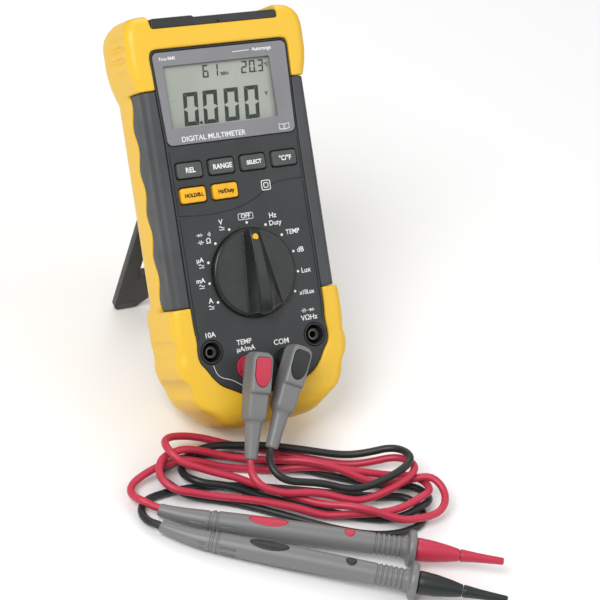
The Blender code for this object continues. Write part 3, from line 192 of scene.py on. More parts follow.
# colour, roughness, colour spread, grain, relief, relief depth, specular, patches, coat, metal
FINISHES = {
    "yellow_rubber": ((0.93, 0.47, 0.003), 0.46, 0.02, 1500, 0.22, 0.00006, 0.34, 24),
    "grip_rubber": ((0.062, 0.065, 0.068), 0.5, 0.08, 1700, 0.25, 0.00006, 0.45, 40),
    "panel_plastic": ((0.036, 0.039, 0.041), 0.48, 0.07, 2200, 0.2, 0.00004, 0.45, 50),
    "dial_plastic": ((0.016, 0.018, 0.018), 0.27, 0.08, 2000, 0.12, 0.00004, 0.5, 45),
    "stand_plastic": ((0.017, 0.019, 0.018), 0.4, 0.1, 1500, 0.2, 0.00006, 0.5, 45),
    "case_plastic": ((0.026, 0.028, 0.029), 0.45, 0.1, 1500, 0.2, 0.00006, 0.5, 45),
    "jack_plastic": ((0.022, 0.022, 0.024), 0.3, 0.1, 1500, 0.1, 0.00004, 0.5, 80),
    "probe_grey": ((0.050, 0.0495, 0.0495), 0.46, 0.06, 1800, 0.25, 0.00006, 0.38, 60),
    "key_grey": ((0.085, 0.088, 0.088), 0.5, 0.07, 2200, 0.2, 0.00004, 0.4, 120),
    "key_yellow": ((0.92, 0.47, 0.016), 0.5, 0.05, 2200, 0.2, 0.00004, 0.4, 120),
    "lead_red": ((0.33, 0.002, 0.018), 0.42, 0.05, 1200, 0.15, 0.00006, 0.36, 50),
    "lead_black": ((0.012, 0.014, 0.015), 0.36, 0.12, 1200, 0.15, 0.00006, 0.5, 50),
    "bezel_violet": ((0.19, 0.19, 0.205), 0.24, 0.05, 900, 0.03, 0.00003, 0.5, 30, 0.6),
    "screen_grey": ((0.37, 0.395, 0.35), 0.3, 0.03, 600, 0.02, 0.00002, 0.4, 26, 0.3),
    "segment_ink": ((0.040, 0.050, 0.042), 0.45, 0.1, 900, 0.03, 0.00002, 0.3, 60),
    "print_white": ((0.85, 0.87, 0.88), 0.55, 0.05, 2500, 0.1, 0.00002, 0.3, 200),
    "print_dark": ((0.012, 0.010, 0.006), 0.55, 0.05, 2500, 0.1, 0.00002, 0.3, 200),
    # jack contact springs: brass-like metal colour darkened with painted shade of the deep socket they sit in
    "contact_metal": ((0.22, 0.20, 0.16), 0.38, 0.06, 1800, 0.1, 0.00004, 0.5, 200, 0.0, 1.0),
    "steel": ((0.60, 0.60, 0.58), 0.3, 0.06, 1800, 0.1, 0.00004, 0.5, 200, 0.0, 1.0),
    "sensor_dome": ((0.55, 0.56, 0.55), 0.25, 0.04, 800, 0.05, 0.00003, 0.5, 80, 0.4),
    "board_green": ((0.01, 0.11, 0.04), 0.4, 0.15, 700, 0.1, 0.00004, 0.5, 90),
    "nylon_white": ((0.62, 0.61, 0.57), 0.45, 0.05, 1500, 0.1, 0.00004, 0.5, 90),
    "fuse_ceramic": ((0.66, 0.63, 0.55), 0.4, 0.05, 1200, 0.1, 0.00004, 0.5, 90),
    "contact_rubber": ((0.42, 0.16, 0.18), 0.6, 0.08, 1500, 0.2, 0.00004, 0.3, 90),
    "battery_jacket": ((0.05, 0.05, 0.055), 0.3, 0.1, 900, 0.08, 0.00004, 0.5, 60, 0.3),
}
DARKER = {"yellow_rubber": (0.90, 0.43, 0.002)}
POLISH_SPREAD = 0.12


def finish(name):
    """Moulded material: fine grain in the surface, slow colour drift and uneven polish."""
    if name in bpy.data.materials:
        return bpy.data.materials[name]
    values = (*FINISHES[name], 0.0, 0.0)[:10]
    colour, rough, spread, grain, bump, depth, specular, patch, coat, metal = values
    look = bpy.data.materials.new(name)
    look.use_nodes = True
    tree = look.node_tree
    shader = tree.nodes["Principled BSDF"]
    place = tree.nodes.new("ShaderNodeTexCoord").outputs["Object"]

    def cloud(scale, detail):
        node = tree.nodes.new("ShaderNodeTexNoise")
        set_inputs(node, {"Scale": scale, "Detail": detail})
        tree.links.new(place, node.inputs["Vector"])
        return node.outputs["Fac"]

    second = DARKER.get(name) or tuple(c * (1 - 2.2 * spread) for c in colour)
    first = tuple(c * (1 + spread) for c in colour)
    ramp = tree.nodes.new("ShaderNodeValToRGB")
    for element, position, tone in zip(ramp.color_ramp.elements, (0.32, 0.68), (second, first)):
        element.position = position
        element.color = (*tone, 1)
    tree.links.new(cloud(patch, 4.0), ramp.inputs["Fac"])
    tree.links.new(ramp.outputs["Color"], shader.inputs["Base Color"])
    span = tree.nodes.new("ShaderNodeMapRange")
    set_inputs(span, {"To Min": max(0.02, rough - POLISH_SPREAD), "To Max": rough + POLISH_SPREAD})
    tree.links.new(cloud(patch * 3.1, 5.0), span.inputs["Value"])
    tree.links.new(span.outputs["Result"], shader.inputs["Roughness"])
    relief = tree.nodes.new("ShaderNodeBump")
    set_inputs(relief, {"Strength": bump, "Distance": depth})
    tree.links.new(cloud(grain, 2.0), relief.inputs["Height"])
    tree.links.new(relief.outputs["Normal"], shader.inputs["Normal"])
    set_inputs(shader, {"Metallic": metal, "Specular IOR Level": specular, "Coat Weight": coat,
                        "Coat Roughness": 0.12})
    return look


# ---------------------------------------------------------------- mesh helpers

def arc(centre, radius, start, stop, steps):
    angles = [math.radians(start + (stop - start) * i / steps) for i in range(steps + 1)]
    if isinstance(radius, tuple):
        across, along = radius
    else:
        across = along = radius
    return [(centre[0] + across * math.cos(a), centre[1] + along * math.sin(a)) for a in angles]


def circle(centre, radius, steps=48):
    return arc(centre, radius, 0.0, 360.0, steps)[:-1]


def rounded_box(left, right, foot, top, radius, steps=8):
    outline = []
    outline += arc((right - radius, foot + radius), radius, -90, 0, steps)
    outline += arc((right - radius, top - radius), radius, 0, 90, steps)
    outline += arc((left + radius, top - radius), radius, 90, 180, steps)
    outline += arc((left + radius, foot + radius), radius, 180, 270, steps)
    return outline


def mirrored(half):
    left = [(-x, u) for x, u in reversed(half) if x > 1e-6]
    return list(half) + left


def offset_outline(outline, distance):
    moved = []
    count = len(outline)
    for i in range(count):
        before = Vector(outline[i - 1])
        here = Vector(outline[i])
        after = Vector(outline[(i + 1) % count])
        first = (here - before).normalized()
        second = (after - here).normalized()
        normal = Vector((first.y + second.y, -first.x - second.x)).normalized()
        lean = max(0.5, normal.dot(Vector((first.y, -first.x))))
        moved.append(tuple(here + normal * (distance / lean)))
    return moved


def rounded_corners(outline, radius, steps=6):
    """Outline with every corner eased by a small quadratic curve."""
    eased = []
    count = len(outline)
    for i in range(count):
        before = Vector(outline[i - 1])
        here = Vector(outline[i])
        after = Vector(outline[(i + 1) % count])
        back = min(radius, (before - here).length * 0.45)
        on = min(radius, (after - here).length * 0.45)
        start = here + (before - here).normalized() * back
        stop = here + (after - here).normalized() * on
        for step in range(steps + 1):
            t = step / steps
            eased.append(tuple(start * (1 - t) ** 2 + here * 2 * t * (1 - t) + stop * t ** 2))
    return eased


def loft_shape(sections):
    count = len(sections[0])
    points = [point for section in sections for point in section]
    faces = [list(range(count))]
    for ring in range(len(sections) - 1):
        low = ring * count
        for step in range(count):
            after = (step + 1) % count
            faces.append([low + step, low + after, low + count + after, low + count + step])
    last = (len(sections) - 1) * count
    faces.append([last + step for step in reversed(range(count))])
    return points, faces


def turned_shape(profile, steps):
    points = []
    rings = []
    for height, radius in profile:
        if radius < 1e-6:
            rings.append([len(points)])
            points.append((0.0, 0.0, height))
        else:
            rings.append([len(points) + i for i in range(steps)])
            for i in range(steps):
                angle = 2 * math.pi * i / steps
                points.append((radius * math.cos(angle), radius * math.sin(angle), height))
    faces = []
    pairs = list(zip(rings, rings[1:]))
    if profile[0][1] > 1e-6:
        pairs.append((rings[-1], rings[0]))
    for first, second in pairs:
        if len(first) == 1 and len(second) == 1:
            continue
        for i in range(steps):
            after = (i + 1) % steps
            if len(first) == 1:
                faces.append([first[0], second[i], second[after]])
            elif len(second) == 1:
                faces.append([first[i], second[0], first[after]])
            else:
                faces.append([first[i], second[i], second[after], first[after]])
    return points, faces


def shade(piece, angle):
    """Smooth faces with crisp edges where they meet at more than an angle."""
    piece.data.shade_smooth()
    piece.data.set_sharp_from_angle(angle=math.radians(angle))


def mount(piece, body, node):
    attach(piece, body)
    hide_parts(node)


def solid(name, points, faces, look, place=METER, smooth=40):
    mesh = bpy.data.meshes.new(name)
    mesh.from_pydata([Vector(point) * MM for point in points], [], faces)
    body = bmesh.new()
    body.from_mesh(mesh)
    bmesh.ops.recalc_face_normals(body, faces=body.faces)
    body.to_mesh(mesh)
    body.free()
    piece = add_object(name, mesh, place)
    if smooth is not None:
        shade(piece, smooth)
    if look is not None:
        mesh.materials.append(look)
    return piece


def lofted(name, sections, look=None, place=METER, smooth=40):
    return solid(name, *loft_shape(sections), look, place, smooth)


def turned(name, profile, look, place, steps=48, smooth=35):
    return solid(name, *turned_shape(profile, steps), look, place, smooth)


def level(outline, n):
    return [(x, n, u) for x, u in outline]


def prism(name, outline, front, back, look=None, place=METER, smooth=40):
    return lofted(name, [level(outline, front), level(outline, back)], look, place, smooth)


def cushion(name, outline, front, back, look, place=METER, ease=0.6, steps=4, both=False):
    """Plate with rounded edges: the outline closes in towards the front, and the back if both."""
    def rim(angle, face, away):
        ring = offset_outline(outline, -ease * (1 - math.sin(angle)))
        return level(ring, face + away * ease * (1 - math.cos(angle)))

    angles = [math.pi / 2 * step / steps for step in range(steps + 1)]
    sections = [rim(angle, front, 1) for angle in angles]
    if both:
        sections += [rim(angle, back, -1) for angle in reversed(angles)]
    else:
        sections.append(level(outline, back))
    return lofted(name, sections, look, place)


def apply(piece):
    """Bakes the modifiers of a piece into its mesh."""
    graph = bpy.context.evaluated_depsgraph_get()
    graph.update()
    done = bpy.data.meshes.new_from_object(piece.evaluated_get(graph), depsgraph=graph)
    piece.modifiers.clear()
    old = piece.data
    piece.data = done
    bpy.data.meshes.remove(old)


def boolean(piece, tools, operation="DIFFERENCE"):
    for tool in tools:
        change = piece.modifiers.new(tool.name, "BOOLEAN")
        change.operation = operation
        change.solver = "EXACT"
        change.object = tool
    apply(piece)
    for tool in tools:
        bpy.data.objects.remove(tool, do_unlink=True)


def soften(piece, voxel, rounds):
    """Even skin with soft edges, as rubber has."""
    change = piece.modifiers.new("remesh", "REMESH")
    change.mode = "VOXEL"
    change.voxel_size = voxel * MM
    change.use_smooth_shade = True
    ease = piece.modifiers.new("ease", "SMOOTH")
    ease.factor = 0.5
    ease.iterations = rounds
    look = piece.data.materials[0]
    apply(piece)
    if not piece.data.materials:
        piece.data.materials.append(look)
    piece.data.shade_smooth()


def merged(name, pieces):
    """One object from several, in world places of the first."""
    base = pieces[0].matrix_world.copy()
    back = base.inverted()
    body = bmesh.new()
    looks = []
    for piece in pieces:
        mesh = piece.data.copy()
        mesh.transform(back @ piece.matrix_world)
        first = len(body.faces)
        body.from_mesh(mesh)
        body.faces.ensure_lookup_table()
        own = piece.data.materials[0]
        if own not in looks:
            looks.append(own)
        for face in body.faces[first:]:
            face.material_index = looks.index(own)
        bpy.data.meshes.remove(mesh)
    mesh = bpy.data.meshes.new(name)
    body.to_mesh(mesh)
    body.free()
    for piece in pieces:
        bpy.data.objects.remove(piece, do_unlink=True)
    for own in looks:
        mesh.materials.append(own)
    mesh.set_sharp_from_angle(angle=math.radians(40))
    return add_object(name, mesh, base)


def smooth_between(xs, ys, at):
    """Monotone cubic through points, so that a profile never overshoots."""
    xs = np.array(xs, float)
    ys = np.array(ys, float)
    gaps = np.diff(xs)
    slopes = np.diff(ys) / gaps
    ends = np.zeros(len(xs))
    for i in range(1, len(xs) - 1):
        if slopes[i - 1] * slopes[i] > 0:
            ends[i] = 2 * slopes[i - 1] * slopes[i] / (slopes[i - 1] + slopes[i])
    ends[0] = slopes[0]
    ends[-1] = slopes[-1]
    out = []
    for value in at:
        i = int(np.clip(np.searchsorted(xs, value) - 1, 0, len(xs) - 2))
        t = (value - xs[i]) / gaps[i]
        out.append((2 * t ** 3 - 3 * t ** 2 + 1) * ys[i] + (t ** 3 - 2 * t ** 2 + t) * gaps[i] * ends[i]
                   + (-2 * t ** 3 + 3 * t ** 2) * ys[i + 1] + (t ** 3 - t ** 2) * gaps[i] * ends[i + 1])
    return np.array(out)


# ---------------------------------------------------------------- cords

# plan routes on the table, mm from the middle of the holster's foot line, from plug to probe
RED_BENDS = (
    (-14, -24, 9, 157, 255), (47, -34, 10.5, -75, 75), (-43, 3, 11, 105, 255), (55, -53, 10, -75, 75),
    (-50, -8, 11, 105, 255), (50, -44, 11, -75, 75), (-65.4, -10.5, 10, 105, 225),
)
BLACK_BENDS = (
    (-4, -23, 9, 145, 255), (46, -31, 10, -75, 75), (-36, -4, 11, 105, 255), (51, -47, 9.5, -75, 75),
    (-45, -5, 13, 105, 255), (43, -54, 11, -75, 75), (-63.8, -22.5, 11, 100, 214),
)
RED_CORD = 0
FALL_POWER = 2.2
TOP_RUN = 184.0
END_RUN = 3.0
CORD_SPACING = 1.2
CORD_SLOPE = 0.34
PLAN_STEP = 1.5
TUBE_STEP = 2.2
LAYING_SWEEPS = 12
PLUG_STAND_OFF = 5.3
PLUG_DEEP = 6.0
PLUG_END = 43.0
GAP = 0.3
BOOT_LENGTH = 25.0
HANDLE_START = 4.8
HANDLE_LENGTH = 89.0
FLANGE_RADIUS = 8.6
FLANGE_THICK = 3.4
NOSE_LENGTH = 20.0
RED = ("red", "jack_ma", 15.0, RED_BENDS, (-46.9, -36.4), -30.3, 10.0)
BLACK = ("black", "jack_com", 27.0, BLACK_BENDS, (-52.1, -48.8), -34.9, 16.0)


def bend_points(bend):
    """Bend of a cord, turning to the left: its centre, radius and the angles it runs between."""
    x, y, radius, first, last = bend
    angles = np.radians(np.linspace(first, last, 40))
    return np.column_stack([x + radius * np.cos(angles), y + radius * np.sin(angles)])


def run_points(start, leaving, stop, arriving):
    """Gentle run of cord between two places, with the direction it leaves and arrives in."""
    reach = float(np.linalg.norm(np.subtract(stop, start)))
    t = np.linspace(0, 1, 60)[:, None]
    shift = 3 * t ** 2 - 2 * t ** 3
    pull_out = (t ** 3 - 2 * t ** 2 + t) * reach * np.array(leaving)
    pull_in = (t ** 3 - t ** 2) * reach * np.array(arriving)
    return (1 - shift) * np.array(start) + shift * np.array(stop) + pull_out + pull_in


def heading(angle):
    """Direction of travel at an angle of a bend that turns to the left."""
    return -math.sin(math.radians(angle)), math.cos(math.radians(angle))


def travelled(path):
    steps = np.linalg.norm(np.diff(path, axis=0), axis=1)
    return np.concatenate([[0], np.cumsum(steps)])


def read_at(path, length, places):
    return np.column_stack([np.interp(places, length, path[:, axis]) for axis in range(path.shape[1])])


def smooth_line(values, reach):
    """Moving average whose window shrinks towards the two ends."""
    padded = np.concatenate([np.full(reach, values[0]), values, np.full(reach, values[-1])])
    weight = np.hanning(2 * reach + 3)[1:-1]
    return np.convolve(padded, weight / weight.sum(), mode="valid")


def slope_limit(values, rise):
    """Raise values so that they never climb or fall faster than rise from point to point."""
    out = values.copy()
    for i in range(1, len(out)):
        out[i] = max(out[i], out[i - 1] - rise)
    for i in range(len(out) - 2, -1, -1):
        out[i] = max(out[i], out[i + 1] - rise)
    return out


def laying_order(length, cord):
    """When each point comes to lie: the black cord first, then the red, then the black one's end."""
    share = 1 - length / length[-1]
    if cord == RED_CORD:
        return share + 1
    return np.where(length < TOP_RUN, share + 2, share)


def support_height(plan, lengths, heights, one, other):
    """Height each point of cord one needs, to lie on the runs laid before it."""
    room = 2 * CORD_RADIUS + CORD_SPACING
    apart = np.linalg.norm(plan[one][:, None, :] - plan[other][None, :, :], axis=2)
    turns = [laying_order(lengths[cord], cord) for cord in (one, other)]
    earlier = turns[1][None, :] < turns[0][:, None]
    if one == other:
        along = np.abs(lengths[one][:, None] - lengths[one][None, :])
        earlier &= along > 5 * room
    near = earlier & (apart < room)
    lift = heights[other][None, :] + np.sqrt(np.maximum(room ** 2 - apart ** 2, 0))
    return np.where(near, lift, 0).max(axis=1)


def lay(plan, floors):
    """Heights of cords laid on the table from the probe end, each run over the earlier ones."""
    lengths = [travelled(path) for path in plan]
    heights = [floor.copy() for floor in floors]
    for sweep in range(LAYING_SWEEPS):
        for one in range(len(plan)):
            need = floors[one]
            for other in range(len(plan)):
                need = np.maximum(need, support_height(plan, lengths, heights, one, other))
            rise = CORD_SLOPE * lengths[one][1]
            draped = smooth_line(slope_limit(need, rise), 6)
            short = slope_limit(np.maximum(need - draped, 0), rise)
            heights[one] = np.maximum(draped + short, need)
    return [smooth_line(height, 3) for height in heights]


def lead_setup(lead):
    """World places that a lead's pieces share: the plug's frame, its exit and the probe's axis."""
    name, jack, swing, bends, ring, heading, bend = lead
    x, u = JACKS[jack]
    plug = METER @ moved(x, 0, u) @ Matrix.Rotation(math.radians(swing), 4, "Y")
    leave = plug @ (Vector((0, -(PLUG_STAND_OFF + PLUG_DEEP), -PLUG_END - GAP)) * MM) / MM
    down = (plug.to_3x3() @ Vector((0, 0, -1))).normalized()
    base = METER.translation.y / MM
    tilt = math.asin((FLANGE_RADIUS - HANDLE_START) / (HANDLE_LENGTH + FLANGE_THICK / 2))
    turn = math.radians(heading)
    ahead = Vector((math.cos(turn) * math.cos(tilt), math.sin(turn) * math.cos(tilt), math.sin(tilt)))
    start = Vector((ring[0], ring[1] + base, HANDLE_START + GAP))
    tail_turn = math.radians(heading - bend)
    tail_ahead = Vector((math.cos(tail_turn), math.sin(tail_turn), 0.02)).normalized()
    tail = start - ahead * (BOOT_LENGTH * 0.5) - tail_ahead * (BOOT_LENGTH * 0.5)
    return {"name": name, "jack": jack, "plug": plug, "leave": leave, "down": down, "base": base, "ahead": ahead,
            "ring": start, "tail": tail, "tail_ahead": tail_ahead, "bends": bends}


def cord_plan(setup):
    """Plan of a cord: out of the plug, round its bends, and into the probe's boot."""
    base = setup["base"]
    ahead = setup["down"].xy.normalized()
    ends_at = setup["tail"] - setup["tail_ahead"] * GAP
    tail_ahead = setup["tail_ahead"].xy.normalized()
    place = np.array(setup["leave"].xy)
    last_bit = np.array((ends_at - setup["tail_ahead"] * END_RUN).xy)
    parts = [place[None, :]]
    place = place + np.array(ahead) * END_RUN
    for bend in setup["bends"]:
        around = bend_points(bend) + np.array((0, base))
        parts += [run_points(place, ahead, around[0], heading(bend[3])), around]
        place = around[-1]
        ahead = heading(bend[4])
    parts += [run_points(place, ahead, last_bit, tail_ahead), np.array([ends_at.xy])]
    path = np.vstack(parts)
    length = travelled(path)
    return read_at(path, length, np.linspace(0, length[-1], int(length[-1] / PLAN_STEP)))


def cord_floor(setup, plan):
    """Lowest heights: the drop from the plug to the table, the table, and the climb to the boot."""
    length = travelled(plan)
    lie = CORD_RADIUS + 0.2
    drop = setup["leave"].z - lie
    steepness = -setup["down"].z / setup["down"].xy.length
    fall = FALL_POWER * drop / steepness
    share = np.clip(length / fall, 0, 1)
    floor = lie + drop * (1 - share) ** FALL_POWER
    climb = setup["tail"].z - lie
    left = np.clip((length[-1] - length) / 18.0, 0, 1)
    return floor + climb * (1 - left) ** 2


def make_cords(setups):
    """Both cords as smooth round tubes, laid over each other."""
    plans = [cord_plan(setup) for setup in setups]
    heights = lay(plans, [cord_floor(setup, plan) for setup, plan in zip(setups, plans)])
    for setup, plan, height in zip(setups, plans, heights):
        name = setup["name"] + "_lead"
        path = np.column_stack([plan, height])
        path = np.column_stack([smooth_line(path[:, axis], 2) for axis in range(3)])
        length = travelled(path)
        path = read_at(path, length, np.linspace(0, length[-1], int(length[-1] / TUBE_STEP)))
        leaving = np.array(setup["down"])
        arriving = np.array(setup["tail_ahead"])
        path = np.vstack([path[0] - leaving * 2.0, path[0] + leaving * 1.2, path[2:-2],
                          path[-1] - arriving * 1.2, path[-1] + arriving * 2.0])
        curve = bpy.data.curves.new(name, "CURVE")
        curve.dimensions = "3D"
        curve.bevel_depth = CORD_RADIUS * MM
        curve.bevel_resolution = 5
        curve.use_fill_caps = True
        run = curve.splines.new("POLY")
        run.points.add(len(path) - 1)
        for point, where in zip(run.points, path):
            point.co = (*(where * MM), 1.0)
        run.use_smooth = True
        curve.materials.append(finish("lead_" + setup["name"]))
        setup["length"] = float(travelled(path)[-1]) * MM
        setup["start"] = [float(v) * MM for v in path[0]]
        setup["cord"] = add_object(name, curve)


# ---------------------------------------------------------------- holster and grips

# height, half width, front depth, back depth
HOLSTER = (
    (0.0, BUMPER_HALF - 27.5, 9.0, DEPTH - 9.0), (1.0, BUMPER_HALF - 22.5, 6.0, DEPTH - 6.0),
    (3.0, BUMPER_HALF - 19.0, 3.0, DEPTH - 3.5), (6.0, BUMPER_HALF - 16.0, 0.6, DEPTH - 1.5),
    (9.0, BUMPER_HALF - 12.2, -0.5, DEPTH - 0.5), (12.0, BUMPER_HALF - 8.2, -RIM, DEPTH),
    (17.0, BUMPER_HALF - 5.2, -RIM, DEPTH), (21.0, BUMPER_HALF - 4.0, -RIM, DEPTH),
    (27.0, BUMPER_HALF - 1.3, -RIM, DEPTH), (33.0, BUMPER_HALF, -RIM, DEPTH),
    (38.0, BUMPER_HALF - 0.7, -RIM, DEPTH), (45.0, BUMPER_HALF, -RIM, DEPTH),
    (53.0, BUMPER_HALF, -RIM, DEPTH), (59.4, BUMPER_HALF - 0.6, -RIM, DEPTH),
    (61.6, WAIST_HALF + 0.1, -RIM, DEPTH), (64.0, WAIST_HALF, -RIM, DEPTH),
    (LENGTH - 38.1, WAIST_HALF, -RIM, DEPTH), (LENGTH - 34.1, WAIST_HALF + 1.2, -RIM, DEPTH),
    (LENGTH - 27.0, EAR_HALF - 0.8, -RIM, DEPTH), (LENGTH - 20.0, EAR_HALF, -RIM, DEPTH),
    (LENGTH - 12.0, EAR_HALF, -RIM, DEPTH), (LENGTH - 7.0, EAR_HALF - 0.6, -0.5, DEPTH - 1.0),
    (LENGTH - 3.0, EAR_HALF - 2.6, 0.8, DEPTH - 3.5), (LENGTH - 0.8, EAR_HALF - 5.2, 3.0, DEPTH - 6.5),
    (LENGTH, EAR_HALF - 8.0, 5.5, DEPTH - 9.0),
)


def panel_edge(height):
    rise = max(0.0, min(1.0, (height - LENS_FOOT) / (LENS_TOP - LENS_FOOT)))
    return PANEL_HALF + rise * (LENS_HALF_TOP + 1.2 - PANEL_HALF)


def panel_outline():
    half = [
        (0.0, 14.8), (PANEL_HALF - 20.2, 15.8), (PANEL_HALF - 14.8, 18.8), (PANEL_HALF - 9.8, 21.4),
        (PANEL_HALF - 6.0, 25.6), (PANEL_HALF - 3.6, 29.8), (PANEL_HALF - 0.6, 33.6),
        (PANEL_HALF - 0.2, 37.4), (PANEL_HALF - 0.7, 43.3), (PANEL_HALF - 0.1, 51.2),
        (PANEL_HALF, BUMPER_TOP), (PANEL_HALF, LENS_FOOT), (panel_edge(PANEL_TOP - 3.0), PANEL_TOP - 3.0),
        (panel_edge(PANEL_TOP) - 0.7, PANEL_TOP - 0.8), (panel_edge(PANEL_TOP) - 2.8, PANEL_TOP),
        (0.0, PANEL_TOP),
    ]
    return rounded_corners(mirrored(half), 2.2, 4)


def lens_outline():
    corner = 1.6
    half = [
        (0.0, LENS_FOOT), (LENS_HALF_FOOT - corner, LENS_FOOT), (LENS_HALF_FOOT, LENS_FOOT + corner),
        (LENS_HALF_TOP, LENS_TOP - corner), (LENS_HALF_TOP - corner, LENS_TOP), (0.0, LENS_TOP),
    ]
    return rounded_corners(mirrored(half), 0.9, 4)


def wave(height):
    share = (height - BUMPER_TOP) / (EAR_FOOT - BUMPER_TOP)
    return GRIP_DEPTH + 1.3 * math.sin(2 * math.pi * 5.0 * share)


def holster_shape():
    """Rounded shell outline lofted up the length of the meter."""
    rows = np.array(HOLSTER)
    heights = sorted({round(h, 3) for h in np.arange(0, LENGTH, 1.5)} | {0.3, 0.7, 194.3, 194.7, LENGTH})
    columns = [smooth_between(rows[:, 0], rows[:, i], heights) for i in (1, 2, 3)]
    sections = []
    for height, half, front, back in zip(heights, *columns):
        tight = min(5.0, half * 0.3)
        across = min(13.0, half * 0.6)
        deep = min(18.0, (back - front) * 0.5)
        right = arc((half - tight, front + tight), tight, -90, 0, 8)
        right += arc((half - across, back - deep), (across, deep), 0, 90, 14)
        ring = right + [(-x, n) for x, n in reversed(right)]
        sections.append([(x, n, height) for x, n in ring])
    return loft_shape(sections)


def grip_cutter(front, low, high, clearance):
    """Everything in front of the wavy line between bumper and ears."""
    line = [(front, high), (front, low)]
    for step in range(81):
        height = low + (high - low) * step / 80
        line.append((wave(height) + clearance, height))
    return lofted("cut_grip", [[(x, n, u) for n, u in line] for x in (-60.0, 60.0)])


def crease(name, height, start, stop, side):
    """Rounded bar that presses a crease into the side of an ear."""
    sections = []
    for step in range(9):
        t = step / 8
        pinch = 1.5 * math.sin(math.pi * t ** 0.8) + 0.05
        ring = circle((side * (EAR_HALF + 0.1), height + 0.8 * t), pinch, 10)
        sections.append(level(ring, start + (stop - start) * t))
    return lofted(name, sections)


# height, front end, back end of the creases; place and radius of the hollows beside the bumper's lobes
CREASES = ((186.4, 1.5, 25.0), (181.2, 1.0, 26.0), (175.8, 1.5, 26.0), (169.8, 2.0, 23.0))
SCALLOPS = ((26.0, -7.0, 9.0), (47.2, 20.2, 8.0), (50.6, 42.0, 7.0))
CLEAR = 0.3
OUTSIDE = -14.0
ABOVE = 207.0


def make_holster():
    holster = solid("holster_shell", *holster_shape(), finish("yellow_rubber"))
    case = rounded_box(-CASE_HALF - CLEAR, CASE_HALF + CLEAR, CASE_FOOT - CLEAR, CASE_TOP + CLEAR, CASE_CORNER, 6)
    slot = BAR_HALF + CLEAR
    bar = rounded_box(-slot, slot, CASE_TOP - 1.3, ABOVE, 0.4, 1)
    bar_front = rounded_box(-slot, slot, BAR_FOOT + 2.1, ABOVE, 0.4, 1)
    half = STAND_HALF + 0.95
    recess = rounded_box(-half, half, HINGE[1] - STAND_LENGTH - 1.6, HINGE[1] + STAND_THICK / 2 + 1.0, 1.4, 4)
    window = rounded_box(-DOOR_HALF - 1, DOOR_HALF + 1, DOOR_FOOT - 2, DOOR_TOP + 1, 2.0, 4)
    tools = [
        prism("cut_case", case, CASE_FRONT - CLEAR, CAVITY_BACK),
        prism("cut_panel", offset_outline(panel_outline(), 0.35), OUTSIDE, CASE_FRONT + 3.7),
        grip_cutter(OUTSIDE, BUMPER_TOP - CLEAR, EAR_FOOT + CLEAR, CLEAR),
        prism("cut_bar", bar, CASE_FRONT + 0.2, BAR_DEPTH + CLEAR),
        prism("cut_bar_front", bar_front, OUTSIDE, CASE_FRONT + 1.3),
        prism("cut_recess", recess, RECESS_FLOOR - 0.3, DEPTH + 10.0),
        prism("cut_window", window, CAVITY_BACK - 1.0, RECESS_FLOOR + 1.2),
    ]
    for side in (-1, 1):
        for number, (height, start, stop) in enumerate(CREASES):
            tools.append(crease(f"crease_{side}_{number}", height, start, stop, side))
        for x, u, radius in SCALLOPS:
            tools.append(prism("cut_scallop", circle((side * x, u), radius, 40), -9.0, DEPTH - 8.0))
    boolean(holster, tools)
    soften(holster, 0.55, 4)
    mount(holster, "meter", "holster")


def make_grip(name, side):
    """Soft side strip with finger dents; it wraps from the panel edge to a wavy rear edge."""
    low = BUMPER_TOP + 0.05
    high = EAR_FOOT - 0.05
    wall = CASE_HALF + CLEAR
    out = WAIST_HALF + 0.15
    sections = []
    for step in range(201):
        height = low + (high - low) * step / 200
        inner = panel_edge(height) + 0.3
        end = wave(height)
        ring = [(inner, 0.15), (inner + 0.35, -0.2)]
        ring += arc((out - 4.2, 4.2 - 0.35), 4.2, -90, -5, 12)
        for part in range(1, 9):
            t = part / 8
            dent = 0.30 * (end - GRIP_DEPTH) * math.sin(math.pi * min(1.0, t * 0.9))
            dent -= 0.35 * max(0.0, t - 0.8) / 0.2
            ring.append((out + dent * 0.8 - 0.1, 4.6 + (end - 4.6) * t))
        ring += [(wall, end), (wall, PANEL_THICK), (inner, PANEL_THICK)]
        sections.append([(side * x, n, height) for x, n in ring])
    grip = lofted(name + "_strip", sections, finish("grip_rubber"))
    soften(grip, 0.5, 3)
    mount(grip, "meter", name)


# ---------------------------------------------------------------- face panel and display

def ribbon(name, path, width, low, high, look=None):
    """Bar of even width along a line in (x, u), between two depths."""
    path = [Vector(p) for p in path]
    sections = []
    for i, here in enumerate(path):
        ahead = (path[min(len(path) - 1, i + 1)] - path[max(0, i - 1)]).normalized()
        side = Vector((-ahead.y, ahead.x)) * width / 2
        left = here + side
        right = here - side
        sections.append([(left.x, low, left.y), (left.x, high, left.y),
                         (right.x, high, right.y), (right.x, low, right.y)])
    return lofted(name, sections, look, METER, None)


def bent_line(points, count=40):
    """Smooth line through a few (x, u) points."""
    knots = np.array(points, float)
    padded = np.vstack([2 * knots[0] - knots[1], knots, 2 * knots[-1] - knots[-2]])
    out = []
    share = max(2, count // (len(knots) - 1))
    for i in range(len(knots) - 1):
        a, b, c, d = padded[i:i + 4]
        for t in np.linspace(0, 1, share, endpoint=False):
            out.append(tuple(0.5 * (2 * b + (c - a) * t + (2 * a - 5 * b + 4 * c - d) * t ** 2
                                    + (3 * b - a - 3 * c + d) * t ** 3)))
    out.append(tuple(knots[-1]))
    return out


def key_outline(column, row, clearance=0.0):
    x = KEY_COLUMNS[column]
    u = KEY_ROWS[row]
    half = 6.3 + clearance
    tall = 3.5 + clearance
    return rounded_box(x - half, x + half, u - tall, u + tall, 1.3 + clearance * 0.6, 6)


